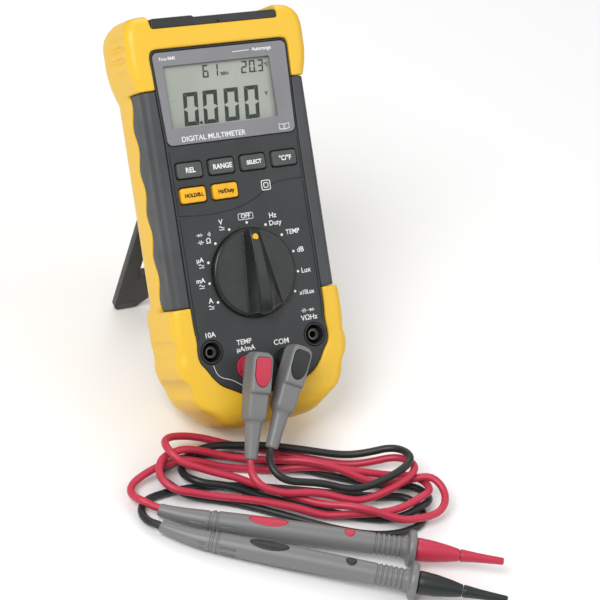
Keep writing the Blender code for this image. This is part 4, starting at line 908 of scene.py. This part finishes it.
KEYS = {
    "button_rel": (0, 0, "REL", 2.5),
    "button_range": (1, 0, "RANGE", 2.4),
    "button_select": (2, 0, "SELECT", 1.9),
    "button_unit": (3, 0, "°C/°F", 2.3),
    "button_hold": (0, 1, "HOLD/B.L", 1.75),
    "button_freq": (1, 1, "Hz/Duty", 1.9),
}
KEY_CURVE = ((-34.9, 101.9), (-27.5, 101.1), (-19.1, 100.6), (-10.4, 101.0), (-3.4, 101.9), (2.1, 103.4),
             (8.5, 106.0), (13.0, 108.9), (17.5, 110.8), (22.0, 111.7), (28.2, 111.9), (35.1, 111.6))


def make_panel():
    panel = cushion("panel_face", panel_outline(), 0.0, PANEL_THICK, finish("panel_plastic"), ease=0.35, steps=3)
    edge = panel_edge(0) - 1.3
    holes = [("cut_lens", offset_outline(lens_outline(), 0.55), 5)]
    holes += [("cut_key", key_outline(column, row, 0.75), 5) for column, row, label, size in KEYS.values()]
    holes += [("cut_dial", circle(DIAL, DIAL_RADIUS + 0.35, 96), 0.7), ("cut_shaft", circle(DIAL, 8.2, 48), 5)]
    holes += [("cut_jack", circle(place, 5.8, 48), 5) for place in JACKS.values()]
    right = [(edge + 0.1, 110.2), (edge, 100.0), (edge, 56.0), (edge - 0.6, 44.0)]
    left = [(-edge, 100.0), (-edge, 56.0), (-edge + 0.6, 44.0)]
    grooves = (
        ("cut_curve", bent_line(KEY_CURVE, 66), 0.42, 0.5), ("cut_right", bent_line(right, 30), 0.36, 0.42),
        ("cut_left", bent_line(left, 30), 0.36, 0.42),
        ("cut_left_high", [(-edge - 0.3, 131.5), (-edge - 0.1, 102.6)], 0.34, 0.42),
        ("cut_right_high", [(edge + 0.3, 131.5), (edge + 0.1, 112.2)], 0.34, 0.42),
    )
    tools = [prism(name, outline, -5, back) for name, outline, back in holes]
    tools += [ribbon(name, path, width, -1.0, depth) for name, path, width, depth in grooves]
    boolean(panel, tools)
    shade(panel, 35)
    mount(panel, "meter", "face_panel")


def make_display():
    """Glossy frame over the sunk screen."""
    bezel = cushion("lens_frame", lens_outline(), -0.35, PANEL_THICK, finish("bezel_violet"), ease=0.18, steps=2)
    window = rounded_box(LCD_LEFT, LCD_RIGHT, LCD_FOOT, LCD_TOP, 0.7, 4)
    boolean(bezel, [prism("cut_window", window, -3, 3)])
    shade(bezel, 12)
    mount(bezel, "meter", "display_lens")
    lap = 1.6
    glass = rounded_box(LCD_LEFT - lap, LCD_RIGHT + lap, LCD_FOOT - lap, LCD_TOP + lap, 0.6, 3)
    screen = cushion("screen", glass, 1.55, 4.4, finish("screen_grey"), ease=0.3, steps=2)
    mount(screen, "meter", "lcd_glass")


# ---------------------------------------------------------------- print and figures

PRINT = -0.06
LENS_PRINT = -0.40
SCREEN_PRINT = 1.42
INK = 0.05
SCREEN_INK = 0.04
LEAN = 0.09
SEGMENTS = {"0": "abcdef", "1": "bc", "2": "abged", "3": "abgcd", "6": "afgedc"}
# text, x, u, height of the letters, width factor
PANEL_WORDS = (
    ("V", -12.7, 96.3, 2.5, 1.0), ("Ω", -20.2, 88.5, 2.5, 1.0), ("µA", -26.0, 80.2, 2.3, 1.0),
    ("mA", -27.2, 70.8, 2.3, 1.0), ("A", -23.6, 60.9, 2.5, 1.0), ("OFF", 0.5, 97.5, 2.1, 1.0),
    ("Hz", 14.4, 96.1, 2.5, 1.0), ("Duty", 15.2, 92.5, 2.4, 1.0), ("TEMP", 23.6, 87.2, 2.4, 0.92),
    ("dB", 26.2, 78.2, 2.5, 1.0), ("Lux", 27.5, 68.2, 2.5, 1.0), ("x10Lux", 26.3, 57.9, 2.2, 0.86),
    ("VΩHz", 25.5, 45.8, 2.5, 1.0), ("10A", -26.7, 45.4, 2.5, 1.0), ("TEMP", -10.0, 39.7, 2.5, 0.95),
    ("µA/mA", -9.7, 36.5, 2.4, 1.0), ("COM", 9.1, 36.8, 2.6, 1.0),
)
LENS_WORDS = (("DIGITAL MULTIMETER", -9.6, 136.4, 2.5, 0.98), ("Autorange", 21.6, 174.5, 1.75, 1.0),
              ("True RMS", -27.3, 174.1, 1.5, 1.0))
SCREEN_WORDS = (("%RH", 1.6, 164.8, 1.5), ("°C", 23.6, 167.0, 1.5), ("V", 21.6, 153.4, 1.9))
DOTS = ((-8.9, 92.4), (-16.9, 86.9), (-21.9, 78.6), (-22.9, 69.0), (-20.1, 59.8), (0.6, 94.5), (10.1, 92.2),
        (17.7, 86.4), (22.5, 77.9), (23.3, 68.2), (20.2, 59.1))
# centre, width, height, line width
BOXES = ((0.5, 97.5, 7.6, 2.9, 0.26), (13.4, 110.6, 4.4, 4.4, 0.4), (13.4, 110.6, 2.2, 2.2, 0.4))
FUSED_LINE = ((-27.3, 31.4), (-25.9, 27.2), (-23.6, 25.0), (-19.1, 23.2), (-14.1, 19.9))
BOOK = ((-2.6, -1.1), (-2.6, 1.3), (-0.2, 0.8), (0.2, 0.8), (2.6, 1.3), (2.6, -1.1), (0.2, -1.5), (-0.2, -1.5),
        (-2.6, -1.1))
# figure, foot corner, width, height, bar thickness
FIGURES = (
    ("0", -22.2, 142.7, 6.9, 14.9, 1.85), ("0", -12.2, 142.7, 6.9, 14.9, 1.85), ("0", -1.3, 142.7, 6.9, 14.9, 1.85),
    ("0", 9.3, 142.7, 6.9, 14.9, 1.85), ("6", -9.6, 163.9, 2.8, 5.7, 0.66), ("1", -4.7, 163.9, 2.8, 5.7, 0.66),
    ("2", 10.4, 164.0, 2.8, 5.5, 0.66), ("0", 14.6, 164.0, 2.8, 5.5, 0.66), ("3", 18.9, 164.0, 2.8, 5.5, 0.66),
)
POINTS = ((-13.9, 143.3, 0.75, 16), (18.0, 164.2, 0.36, 12))


def digit(text, x, u, wide, tall, thick):
    """Seven-segment figure with mitred, slightly slanting bars, foot corner at x, u."""
    half = tall / 2
    gap = thick * 0.12
    high = half + thick * 0.5
    low = half - thick * 0.5
    inner = wide - thick
    top = tall - thick
    bars = {
        "a": (0, gap, [(0, tall), (wide, tall), (inner, top), (thick, top)]),
        "d": (0, -gap, [(0, 0), (thick, thick), (inner, thick), (wide, 0)]),
        "f": (-gap, gap, [(0, tall), (thick, top), (thick, high), (0, half)]),
        "b": (gap, gap, [(wide, tall), (wide, half), (inner, high), (inner, top)]),
        "e": (-gap, -gap, [(0, 0), (0, half), (thick, low), (thick, thick)]),
        "c": (gap, -gap, [(wide, 0), (inner, thick), (inner, low), (wide, half)]),
        "g": (0, 0, [(thick * 0.4, half), (thick, high), (inner, high), (wide - thick * 0.4, half),
                     (inner, low), (thick, low)]),
    }
    pieces = []
    for letter in SEGMENTS[text]:
        dx, du, corners = bars[letter]
        outline = [(x + px + dx + LEAN * (pu + du), u + pu + du) for px, pu in corners]
        pieces.append(prism("segment", outline, SCREEN_PRINT, SCREEN_PRINT + 0.06, finish("segment_ink"), smooth=None))
    return pieces


def words(text, x, u, size, wide, look, depth, thick=INK, bold=0.05):
    """Printed letters lying on the face, as a mesh in the meter's frame."""
    curve = bpy.data.curves.new("words", "FONT")
    curve.body = text
    curve.size = size * MM * 1.36
    curve.extrude = thick * MM / 2
    curve.offset = bold * MM
    curve.resolution_u = 4
    curve.align_x = "CENTER"
    curve.align_y = "CENTER"
    item = add_object("words", curve)
    graph = bpy.context.evaluated_depsgraph_get()
    graph.update()
    mesh = bpy.data.meshes.new_from_object(item.evaluated_get(graph), depsgraph=graph)
    bpy.data.objects.remove(item, do_unlink=True)
    stand = Matrix(((wide, 0, 0, 0), (0, 0, -1, 0), (0, 1, 0, 0), (0, 0, 0, 1)))
    mesh.transform(moved(x, depth, u) @ stand)
    mesh.materials.clear()
    mesh.materials.append(look)
    return add_object("words", mesh, METER)


def stroke(path, width, depth=PRINT):
    """Printed line of even width in (x, u)."""
    return ribbon("stroke", path, width, depth, depth + INK, finish("print_white"))


def tilde(x, u):
    """Wave over a straight bar: alternating and direct current."""
    wide = 2.645
    curve = [(x - wide / 2 + wide * i / 10, u + 0.42 * math.sin(2 * math.pi * i / 10)) for i in range(11)]
    return [stroke(curve, 0.36), stroke([(x - wide / 2, u - 1.15), (x + wide / 2, u - 1.15)], 0.32)]


def diode(x, u):
    head = [(x + 0.7, u), (x - 0.7, u + 0.8), (x - 0.7, u - 0.8)]
    return [prism("diode", head, PRINT, PRINT + INK, finish("print_white"), smooth=None),
            stroke([(x + 0.8, u - 0.8), (x + 0.8, u + 0.8)], 0.28), stroke([(x - 1.7, u), (x + 1.8, u)], 0.25)]


def capacitor(x, u):
    made = [stroke([(x - 1.6, u), (x - 0.4, u)], 0.26), stroke([(x + 0.4, u), (x + 1.6, u)], 0.26)]
    return made + [stroke([(x + side, u - 1.0), (x + side, u + 1.0)], 0.28) for side in (-0.4, 0.4)]


def sound(x, u):
    return [stroke(arc((x, u), radius, -38, 38, 6), 0.25) for radius in (0.7, 1.25, 1.8)]


SYMBOLS = (
    (tilde, -12.5, 93.9), (diode, -24.3, 91.7), (sound, -20.6, 91.6), (capacitor, -24.1, 88.3),
    (tilde, -25.6, 77.9), (tilde, -26.9, 68.5), (tilde, -23.7, 58.4), (capacitor, 23.4, 49.4), (diode, 27.2, 49.3),
)


def make_print():
    """Lettering on the panel, the lens and the screen: units, ranges and socket names only."""
    white = finish("print_white")
    ink = finish("segment_ink")
    made = [prism("dot", circle(place, 0.62, 20), PRINT, PRINT + INK, white, smooth=None) for place in DOTS]
    made += [words(*row, white, PRINT) for row in PANEL_WORDS]
    for draw, x, u in SYMBOLS:
        made += draw(x, u)
    for x, u, wide, tall, width in BOXES:
        ring = rounded_box(x - wide / 2, x + wide / 2, u - tall / 2, u + tall / 2, 0.5, 3)
        made.append(stroke(ring + ring[:2], width))
    made.append(stroke(bent_line(FUSED_LINE, 24), 0.26))

    on_lens = [words(*row, white, LENS_PRINT) for row in LENS_WORDS]
    on_lens.append(stroke([(6.2, 174.2), (15.0, 174.4)], 0.3, LENS_PRINT))
    on_lens.append(stroke([(27.4 + x, 137.0 + u) for x, u in BOOK], 0.34, LENS_PRINT))
    on_lens.append(stroke([(27.4, 138.0), (27.4, 135.6)], 0.3, LENS_PRINT))

    on_screen = [bar for row in FIGURES for bar in digit(*row)]
    for x, u, radius, steps in POINTS:
        spot = circle((x, u), radius, steps)
        on_screen.append(prism("segment", spot, SCREEN_PRINT, SCREEN_PRINT + SCREEN_INK, ink, smooth=None))
    on_screen += [words(*row, 1.0, ink, SCREEN_PRINT, SCREEN_INK) for row in SCREEN_WORDS]
    for name, pieces, slot in (("panel_print", made, "panel_slate"), ("lens_print", on_lens, "lens_clear"),
                               ("screen_figures", on_screen, "display_grey")):
        label = merged(name, pieces)
        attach(label, "meter")


def make_keys():
    for name, (column, row, text, size) in KEYS.items():
        look = finish(("key_grey", "key_yellow")[row])
        ink = finish(("print_white", "print_dark")[row])
        key = cushion(name + "_cap", key_outline(column, row), -1.4, 4.4, look, ease=0.7, steps=6)
        label = words(text, KEY_COLUMNS[column] + 0.2, KEY_ROWS[row] - 0.1, size, 0.92, ink, -1.46, bold=0.10)
        mount(merged(name + "_cap", [key, label]), name, name)


# ---------------------------------------------------------------- dial, jacks, end bar, stand, back

KNOB_FACE = -2.9
RIDGE_HEIGHT = 6.3
MARK_PLACE = 16.4


def ridge_height(along):
    return RIDGE_HEIGHT * max(0.0, 1 - (0.93 * along) ** 2) ** 0.35


def make_dial():
    """Disc with a ridge that widens away from the pointer end, its foot running out into the disc."""
    place = METER @ moved(DIAL[0], 0, DIAL[1])
    face = KNOB_FACE
    rim = [(face, 0.0), (face, DIAL_RADIUS - 1.1), (face + 0.35, DIAL_RADIUS - 0.3), (face + 1.0, DIAL_RADIUS),
           (0.55, DIAL_RADIUS), (0.55, 0.0)]
    knob = turned("knob", rim, finish("dial_plastic"), place @ INWARD, 128, 30)
    sections = []
    for step in range(33):
        u = -20.2 + 40.4 * step / 32
        along = u / DIAL_RADIUS
        height = ridge_height(along)
        widening = (1 - along) / 2
        reach = math.sqrt(max(0.3, (DIAL_RADIUS - 0.7) ** 2 - u * u))
        left = min(reach, 3.3 + 3.4 * widening)
        right = min(reach, 4.2 + 8.5 * widening)
        crest_left = max(-1.6 - 1.3 * widening, -left * 0.7)
        crest_right = min(1.9 + 2.0 * widening, right * 0.6)
        ring = [(-left, face + 1.2), (-left, face - 0.1), (crest_left, face - height),
                (crest_right, face - height * 0.96), (min(0.62 * right + 1.2, right * 0.9), face - height * 0.45),
                (right, face - 0.1), (right, face + 1.2)]
        sections.append([(x, n, u) for x, n in ring])
    boolean(knob, [lofted("ridge", sections, finish("dial_plastic"), place)], "UNION")
    soften(knob, 0.3, 8)
    tip = face - ridge_height(MARK_PLACE / DIAL_RADIUS)
    mark = cushion("knob_dot", circle((0.3, MARK_PLACE), 1.5, 28), tip - 0.12, tip + 1.6, finish("key_yellow"),
                   place, ease=0.2, steps=2)
    mount(merged("knob", [knob, mark]), "range_switch", "range_knob")


# depth, radius
SOCKET = (
    (13.0, 0.0), (13.0, 2.2), (1.7, 2.2), (1.3, 2.35), (1.3, 2.75), (1.7, 3.0), (13.0, 3.0), (13.0, 4.25),
    (0.9, 4.25), (0.2, 4.45), (-0.25, 4.8), (-0.25, 5.25), (0.1, 5.5), (15.0, 5.5), (15.0, 0.0),
)
CONTACT = ((2.0, 1.75), (2.0, 2.1), (12.0, 2.1), (12.0, 1.75))


def make_jacks():
    for name, (x, u) in JACKS.items():
        place = METER @ moved(x, 0, u) @ INWARD
        look = finish("lead_red" if name == "jack_ma" else "jack_plastic")
        socket = turned(name + "_socket", SOCKET, look, place, 56, 30)
        # contact springs: metal colour darkened with painted shade of the socket's depth
        spring = turned(name + "_contact", CONTACT, finish("contact_metal"), place, 32, 30)
        mount(merged(name + "_socket", [socket, spring]), "meter", name)


DOME_PLACE = -21.0
GRILLE_PLACE = 14.0


def make_end_bar():
    half = BAR_HALF
    lip = BAR_TOP + 0.8
    outline = [
        (-half, BAR_FOOT), (half, BAR_FOOT), (half, BAR_TOP - 0.8), (half - 0.8, BAR_TOP),
        (-10.5, BAR_TOP), (-11.3, lip), (-half + 0.6, lip), (-half, lip - 0.6),
    ]
    bar = cushion("sensor_bar", rounded_corners(outline, 0.5, 3), 0.0, BAR_DEPTH, finish("case_plastic"),
                  ease=0.5, steps=3, both=True)
    low = rounded_box(-half - 5, half + 5, BAR_FOOT - 5, BAR_FOOT + 2.3, 0.2, 1)
    notch = rounded_box(0.2, 2.2, BAR_FOOT + 1.6, BAR_FOOT + 3.4, 0.3, 2)
    boolean(bar, [prism("cut_low", low, -5, 2.8), prism("cut_notch", notch, -2, 0.7)])
    boolean(bar, [prism(f"cut_port_{x}", rounded_box(x - 3.2, x + 3.2, 191.0, 195.0, 0.2, 1), 8.0, 14.0)
                  for x in (DOME_PLACE, GRILLE_PLACE)])
    shade(bar, 35)
    dome = rounded_box(-3.0, 3.0, 189.5, 191.4, 0.5, 3)
    parts = [bar, prism("dome", dome, 8.3, 13.7, finish("sensor_dome"), METER @ moved(DOME_PLACE, 0, 0))]
    for i in range(5):
        slat = rounded_box(-2.9 + i * 1.25, -2.1 + i * 1.25, 189.5, 191.6, 0.2, 2)
        parts.append(prism("grille", slat, 8.4, 13.6, finish("stand_plastic"), METER @ moved(GRILLE_PLACE, 0, 0)))
    mount(merged("sensor_bar", parts), "meter", "end_bar")


BARREL = ((-28.6, 0), (-28.6, 2.0), (-28.3, 2.3), (28.3, 2.3), (28.6, 2.0), (28.6, 0))
PAD_PLACE = 23.2


def make_stand():
    foot = -STAND_LENGTH
    inner = STAND_HALF - 12.3
    thick = STAND_THICK / 2
    half = [
        (0.0, foot + 6.5), (inner - 6.5, foot + 6.5), (inner, foot), (STAND_HALF - 1.5, foot),
        (STAND_HALF, foot + 1.5), (STAND_HALF, 1.0), (0.0, 1.0),
    ]
    place = METER @ moved(0, *HINGE) @ Matrix.Rotation(math.radians(STAND_OPEN), 4, "X")
    plate = cushion("tilt_stand", rounded_corners(mirrored(half), 1.6, 5), -thick, thick, finish("stand_plastic"),
                    place, ease=0.7, steps=4, both=True)
    opening = rounded_box(7.8 - STAND_HALF, STAND_HALF - 7.8, foot + 25.4, -14.0, 2.0, 5)
    panel = rounded_box(8.5 - STAND_HALF, STAND_HALF - 8.5, foot + 9.5, foot + 22.5, 2.0, 5)
    boolean(plate, [prism("cut_window", opening, -9, 9, None, place),
                    prism("cut_panel", panel, thick - 0.8, 9, None, place)])
    across = place @ Matrix.Rotation(math.radians(90), 4, "Y")
    boolean(plate, [turned("barrel", BARREL, finish("stand_plastic"), across, 32)], "UNION")
    parts = [plate]
    for x in (-PAD_PLACE, PAD_PLACE):
        pad = rounded_box(x - 4.6, x + 4.6, foot + 0.25, foot + 4.2, 1.0, 4)
        parts.append(cushion("pad", pad, -thick - 0.12, -thick + 0.6, finish("grip_rubber"), place,
                             ease=0.25, steps=2))
    shade(plate, 35)
    mount(merged("tilt_stand", parts), "kickstand", "kickstand")


SCREW_PLACE = 93.5


def make_back():
    """Battery door with finger ribs, and its coin screw."""
    outline = rounded_box(-DOOR_HALF, DOOR_HALF, DOOR_FOOT, DOOR_TOP, 2.5, 6)
    rows = ((-0.9, 0.0), (-0.35, 0.0), (-0.1, 0.12), (0.0, 0.4))
    sections = [level(offset_outline(outline, -shrink), CASE_BACK + n) for n, shrink in rows]
    door = lofted("battery_cover", sections, finish("case_plastic"))
    boolean(door, [prism("cut_screw", circle((0, SCREW_PLACE), 2.9, 40), CASE_BACK - 3, CASE_BACK + 3)])
    parts = [door]
    for i in range(6):
        rib = rounded_box(-9, 9, 46 + i * 2.6, 47.1 + i * 2.6, 0.5, 4)
        parts.append(cushion("rib", rib, CASE_BACK - 0.4, CASE_BACK + 0.55, finish("case_plastic"),
                             ease=0.3, steps=2, both=True))
    mount(merged("battery_cover", parts), "meter", "battery_door")
    head = CASE_BACK + 1.5
    profile = [(CASE_BACK - 2, 0), (CASE_BACK - 2, 2.4), (head - 0.5, 2.4), (head - 0.15, 2.25), (head, 1.9), (head, 0)]
    screw = turned("door_screw", profile, finish("steel"), METER @ moved(0, 0, SCREW_PLACE) @ INWARD, 40, 30)
    slot = rounded_box(-0.45, 0.45, SCREW_PLACE - 3.5, SCREW_PLACE + 3.5, 0.05, 1)
    boolean(screw, [prism("cut_slot", slot, head - 0.7, head + 1)])
    shade(screw, 30)
    mount(screw, "meter", "battery_door_screw")


# ---------------------------------------------------------------- plugs and probes

PLUG_NEAR = PLUG_STAND_OFF
PLUG_FAR = PLUG_NEAR + 2 * PLUG_DEEP
# place along the plug, half width, in from the near side, in from the far side, corner
PLUG_ROWS = (
    (-6.6, 2.9, 2.2, 2.4, 2.2), (-6.2, 3.9, 1.2, 1.3, 2.4), (-5.0, 4.8, 0.4, 0.5, 2.2), (-3.2, 5.2, 0, 0, 1.9),
    (4.0, 5.2, 0, 0, 1.7), (11.5, 5.2, 0, 0, 1.7), (12.2, 5.15, 0.1, 0.3, 1.7), (12.9, 5.1, 0.3, 1.5, 1.7),
    (18.0, 5.0, 0.4, 1.6, 1.8), (23.0, 4.9, 0.5, 1.8, 1.9), (24.4, 4.6, 1.0, 2.1, 2.1), (25.4, 4.1, 1.9, 2.7, 2.4),
    (26.6, 3.75, 2.2, 2.9, 2.8), (34.0, 3.35, 2.6, 3.0, 2.9), (42.2, 3.0, 3.0, 3.0, 2.8), (43.0, 2.6, 3.4, 3.4, 2.5),
)
SHROUD = ((-PLUG_NEAR + 0.1, 2.2), (-PLUG_NEAR + 0.1, 5.0), (-0.9, 5.0), (-0.35, 4.7), (-0.3, 4.0), (10.0, 4.0),
          (10.0, 3.1), (-1.5, 3.1), (-1.5, 2.2))


def badge_outline(clearance):
    half = 3.9
    top = 4.2
    outline = arc((0.0, -3.6), (half, 6.0), 180, 360, 24)
    outline += arc((half - 2.2, top - 2.2), 2.2, 0, 90, 8)
    outline += arc((-half + 2.2, top - 2.2), 2.2, 90, 180, 8)
    return offset_outline(outline, clearance)


def make_plug(setup, colour):
    """Right-angle plug: boxy grip with side grooves, a step, a neck and a tapered cord relief."""
    name = setup["name"]
    place = setup["plug"]
    sections = []
    for v, half, near, far, corner in PLUG_ROWS:
        ring = rounded_box(-half, half, far - PLUG_FAR, -PLUG_NEAR - near, corner, 7)
        sections.append([(w, n, -v) for w, n in ring])
    body = lofted(name + "_plug", sections, finish("probe_grey"), place, 45)
    tools = [prism("cut_badge", badge_outline(0.12), -PLUG_FAR - 3, -PLUG_FAR + 1.0, None, place)]
    for side in (-1, 1):
        for depth in (PLUG_NEAR + 3.4, PLUG_NEAR + 5.2):
            ring = circle((side * 5.35, -depth), 0.42, 10)
            bar = [[(x, n, u) for x, n in ring] for u in np.linspace(-11.6, 4.6, 12)]
            tools.append(lofted("cut_groove", bar, None, place))
    boolean(body, tools)
    soften(body, 0.26, 3)
    mount(body, "test_leads", name + "_plug_body")
    badge = cushion(name + "_plug_badge", badge_outline(-0.1), -PLUG_FAR - 0.28, -PLUG_FAR + 0.7, colour, place,
                    ease=0.3, steps=4)
    mount(badge, "test_leads", name + "_plug_inlay")
    x, u = JACKS[setup["jack"]]
    sleeve = turned(name + "_plug_sleeve", SHROUD, colour, METER @ moved(x, 0, u) @ INWARD, 56, 30)
    mount(sleeve, "test_leads", name + "_plug_shroud")


def facing(direction):
    ahead = Vector(direction).normalized()
    side = Vector((0, 0, 1)).cross(ahead).normalized()
    return Matrix((ahead.cross(side), side, ahead)).transposed()


SLOT_ANGLES = (70, 110, 250, 290)
SLOT_WIDTH = 0.62
SLOT_DEPTH = 0.95
# share of the boot's length, radius
BOOT = (
    (0.0, 2.35), (0.012, 2.75), (0.04, 2.95), (0.10, 3.02), (0.25, 3.25), (0.45, 3.65), (0.62, 4.0), (0.78, 4.3),
    (0.90, 4.45), (0.935, 4.45), (0.945, 4.1), (0.965, 4.1), (0.975, 4.45), (1.0, 4.45),
)
# place along the piece, radius
HANDLE = (
    (0.0, 0.0), (0.0, 4.3), (0.35, 4.75), (0.9, 4.85), (1.5, 4.75), (1.9, 4.35), (2.4, 4.35), (2.8, 4.8),
    (10.0, 4.95), (HANDLE_LENGTH * 0.35, 5.3), (55.0, 5.1), (HANDLE_LENGTH - 16.0, 4.9),
)
GROOVE = ((0.0, 4.9), (0.35, 4.35), (0.85, 4.35), (1.2, 4.9))
FLANGE = ((-0.9, 5.0), (-0.3, 5.5), (0.0, 7.6), (0.5, 8.35), (1.3, 8.6), (2.1, 8.6), (2.9, 8.3),
          (FLANGE_THICK, 7.6), (FLANGE_THICK, 0.0))
NOSE = ((-0.2, 1.1), (-0.2, 4.9), (0.2, 5.15), (0.9, 5.3), (3.0, 5.25), (8.0, 4.9), (14.0, 4.0), (18.6, 3.1),
        (19.6, 2.85), (NOSE_LENGTH, 2.5), (NOSE_LENGTH, 1.1))
CAP = (
    (0.0, 1.3), (0.0, 2.5), (0.35, 2.85), (0.9, 2.9), (2.2, 2.75), (7.0, 2.3), (13.0, 1.95), (19.0, 1.7), (19.7, 1.6),
    (20.0, 1.4), (20.0, 1.15), (19.6, 0.95), (18.0, 0.95), (18.0, 1.3),
)
# how far a badge stands over the handle's skin, and how far it is drawn in there
BADGE_EDGE = ((-1.0, 0.0), (-0.25, 0.0), (-0.06, 0.08), (0.04, 0.3), (0.06, 0.9))
SKIN_RADIUS = 5.22


def slot_cutters(place, radius, start, stop):
    """Short lengthways slots in a round barrel."""
    ring = [(radius + 0.2 + x * SLOT_DEPTH, y * SLOT_WIDTH) for x, y in circle((0.0, 0.0), 1.0, 10)]
    bar = [[(x, y, z) for x, y in ring] for z in np.linspace(start, stop, 5)]
    return [lofted("cut_slot", bar, None, place @ Matrix.Rotation(math.radians(angle), 4, "Z"))
            for angle in SLOT_ANGLES]


def make_boot(setup, turn):
    """Bent sleeve from the cord to the handle."""
    name = setup["name"]
    ring = setup["ring"]
    ahead = setup["ahead"]
    tail = setup["tail"]
    elbow = ring - ahead * (BOOT_LENGTH * 0.5)
    sections = []
    for t, radius in BOOT:
        centre = tail * (1 - t) ** 2 + elbow * 2 * t * (1 - t) + (ring - ahead * 0.05) * t ** 2
        across = facing((elbow - tail) * (1 - t) + (ring - elbow) * t)
        sections.append([centre + across @ Vector((x, y, 0)) for x, y in circle((0, 0), radius, 40)])
    boot = lofted(name + "_boot", sections, finish("probe_grey"), Matrix.Identity(4))
    boolean(boot, slot_cutters(moved(*(ring - ahead * 10.5)) @ turn, 4.15, 0.0, 7.0))
    shade(boot, 35)
    mount(boot, "test_leads", name + "_probe_boot")


def make_probe(setup, colour):
    """Probe lying on its finger guard: boot, handle with rings, slots and badges, nose and tip cap."""
    name = setup["name"]
    turn = facing(setup["ahead"]).to_4x4()
    place = moved(*setup["ring"]) @ turn
    make_boot(setup, turn)

    profile = list(HANDLE)
    for number in range(6):
        start = HANDLE_LENGTH - 15.4 + number * 2.3
        profile += [(start + z, radius) for z, radius in GROOVE]
    profile += [(HANDLE_LENGTH + z, radius) for z, radius in FLANGE]
    handle = turned(name + "_handle", profile, finish("probe_grey"), place, 64, 40)
    tools = slot_cutters(place, 4.75, 3.6, 11.0)
    badges = []
    oval = arc((0.0, 0.0), (3.05, 9.05), 0, 360, 48)[:-1]
    spot = circle((0.0, 0.0), 2.5, 36)
    for shape, at, floor, shrink in ((oval, 25.0, 4.15, 0.12), (spot, 62.0, 4.3, 0.1)):
        pocket = [[(height, x, at + z) for x, z in shape] for height in (floor, 12.0)]
        tools.append(lofted("cut_pocket", pocket, None, place))
        inner = offset_outline(shape, -shrink)
        sections = []
        for rise, drawn_in in BADGE_EDGE:
            line = offset_outline(inner, -drawn_in)
            sections.append([(math.sqrt(max(0.5, SKIN_RADIUS ** 2 - x * x)) + rise, x, at + z) for x, z in line])
        badges.append(lofted("badge", sections, colour, place))
    boolean(handle, tools)
    shade(handle, 35)
    mount(handle, "test_leads", name + "_probe_handle")
    mount(merged(name + "_badge", badges), "test_leads", name + "_probe_inlay")

    base = HANDLE_LENGTH + FLANGE_THICK + GAP
    cone = turned(name + "_nose", [(base + z, radius) for z, radius in NOSE], colour, place, 56, 40)
    mount(cone, "test_leads", name + "_probe_nose")
    tip = turned(name + "_cap", CAP, colour, place @ moved(0, 0, base + NOSE_LENGTH + GAP), 48, 40)
    mount(tip, name + "_tip_cap", name + "_tip_cap")


# ---------------------------------------------------------------- build

# finishes of the CAD parts that show as they are, or only from behind and inside
NODE_LOOKS = {
    "case_plastic": ("front_case", "rear_case"), "board_green": ("main_board",),
    "contact_rubber": ("lcd_connector_strip",), "key_grey": ("keypad_mat",), "nylon_white": ("range_rotor",),
    "battery_jacket": ("battery_9v",), "jack_plastic": ("battery_snap", "buzzer"),
    "fuse_ceramic": ("fuse_10a", "fuse_ma"),
    "steel": ("kickstand_pin", "red_plug_pin", "black_plug_pin", "red_probe_needle", "black_probe_needle",
              "case_screw_1", "case_screw_2", "case_screw_3", "case_screw_4"),
}
ON_CORD = ("_plug", "_plug_badge", "_plug_sleeve", "_boot", "_handle", "_badge", "_nose", "_cap")

set_camera()
lead_setups = [lead_setup(RED), lead_setup(BLACK)]
make_cords(lead_setups)
set_light()
make_floor()
make_holster()
make_grip("left_grip", -1)
make_grip("right_grip", 1)
make_panel()
make_display()
make_print()
make_keys()
make_dial()
make_jacks()
make_end_bar()
make_stand()
make_back()
for setup in lead_setups:
    make_plug(setup, finish("lead_" + setup["name"]))
    make_probe(setup, finish("lead_" + setup["name"]))
for look, names in NODE_LOOKS.items():
    for name in names:
        for slot in frame["nodes"][name].material_slots:
            slot.material = finish(look)
for setup in lead_setups:
    name = setup["name"]
    cord = setup["cord"]
    mount(cord, "test_leads", name + "_cord")
    on_it = [bpy.data.objects[name + tail] for tail in ON_CORD]
    on_it += [frame["nodes"][name + "_plug_pin"], frame["nodes"][name + "_probe_needle"]]
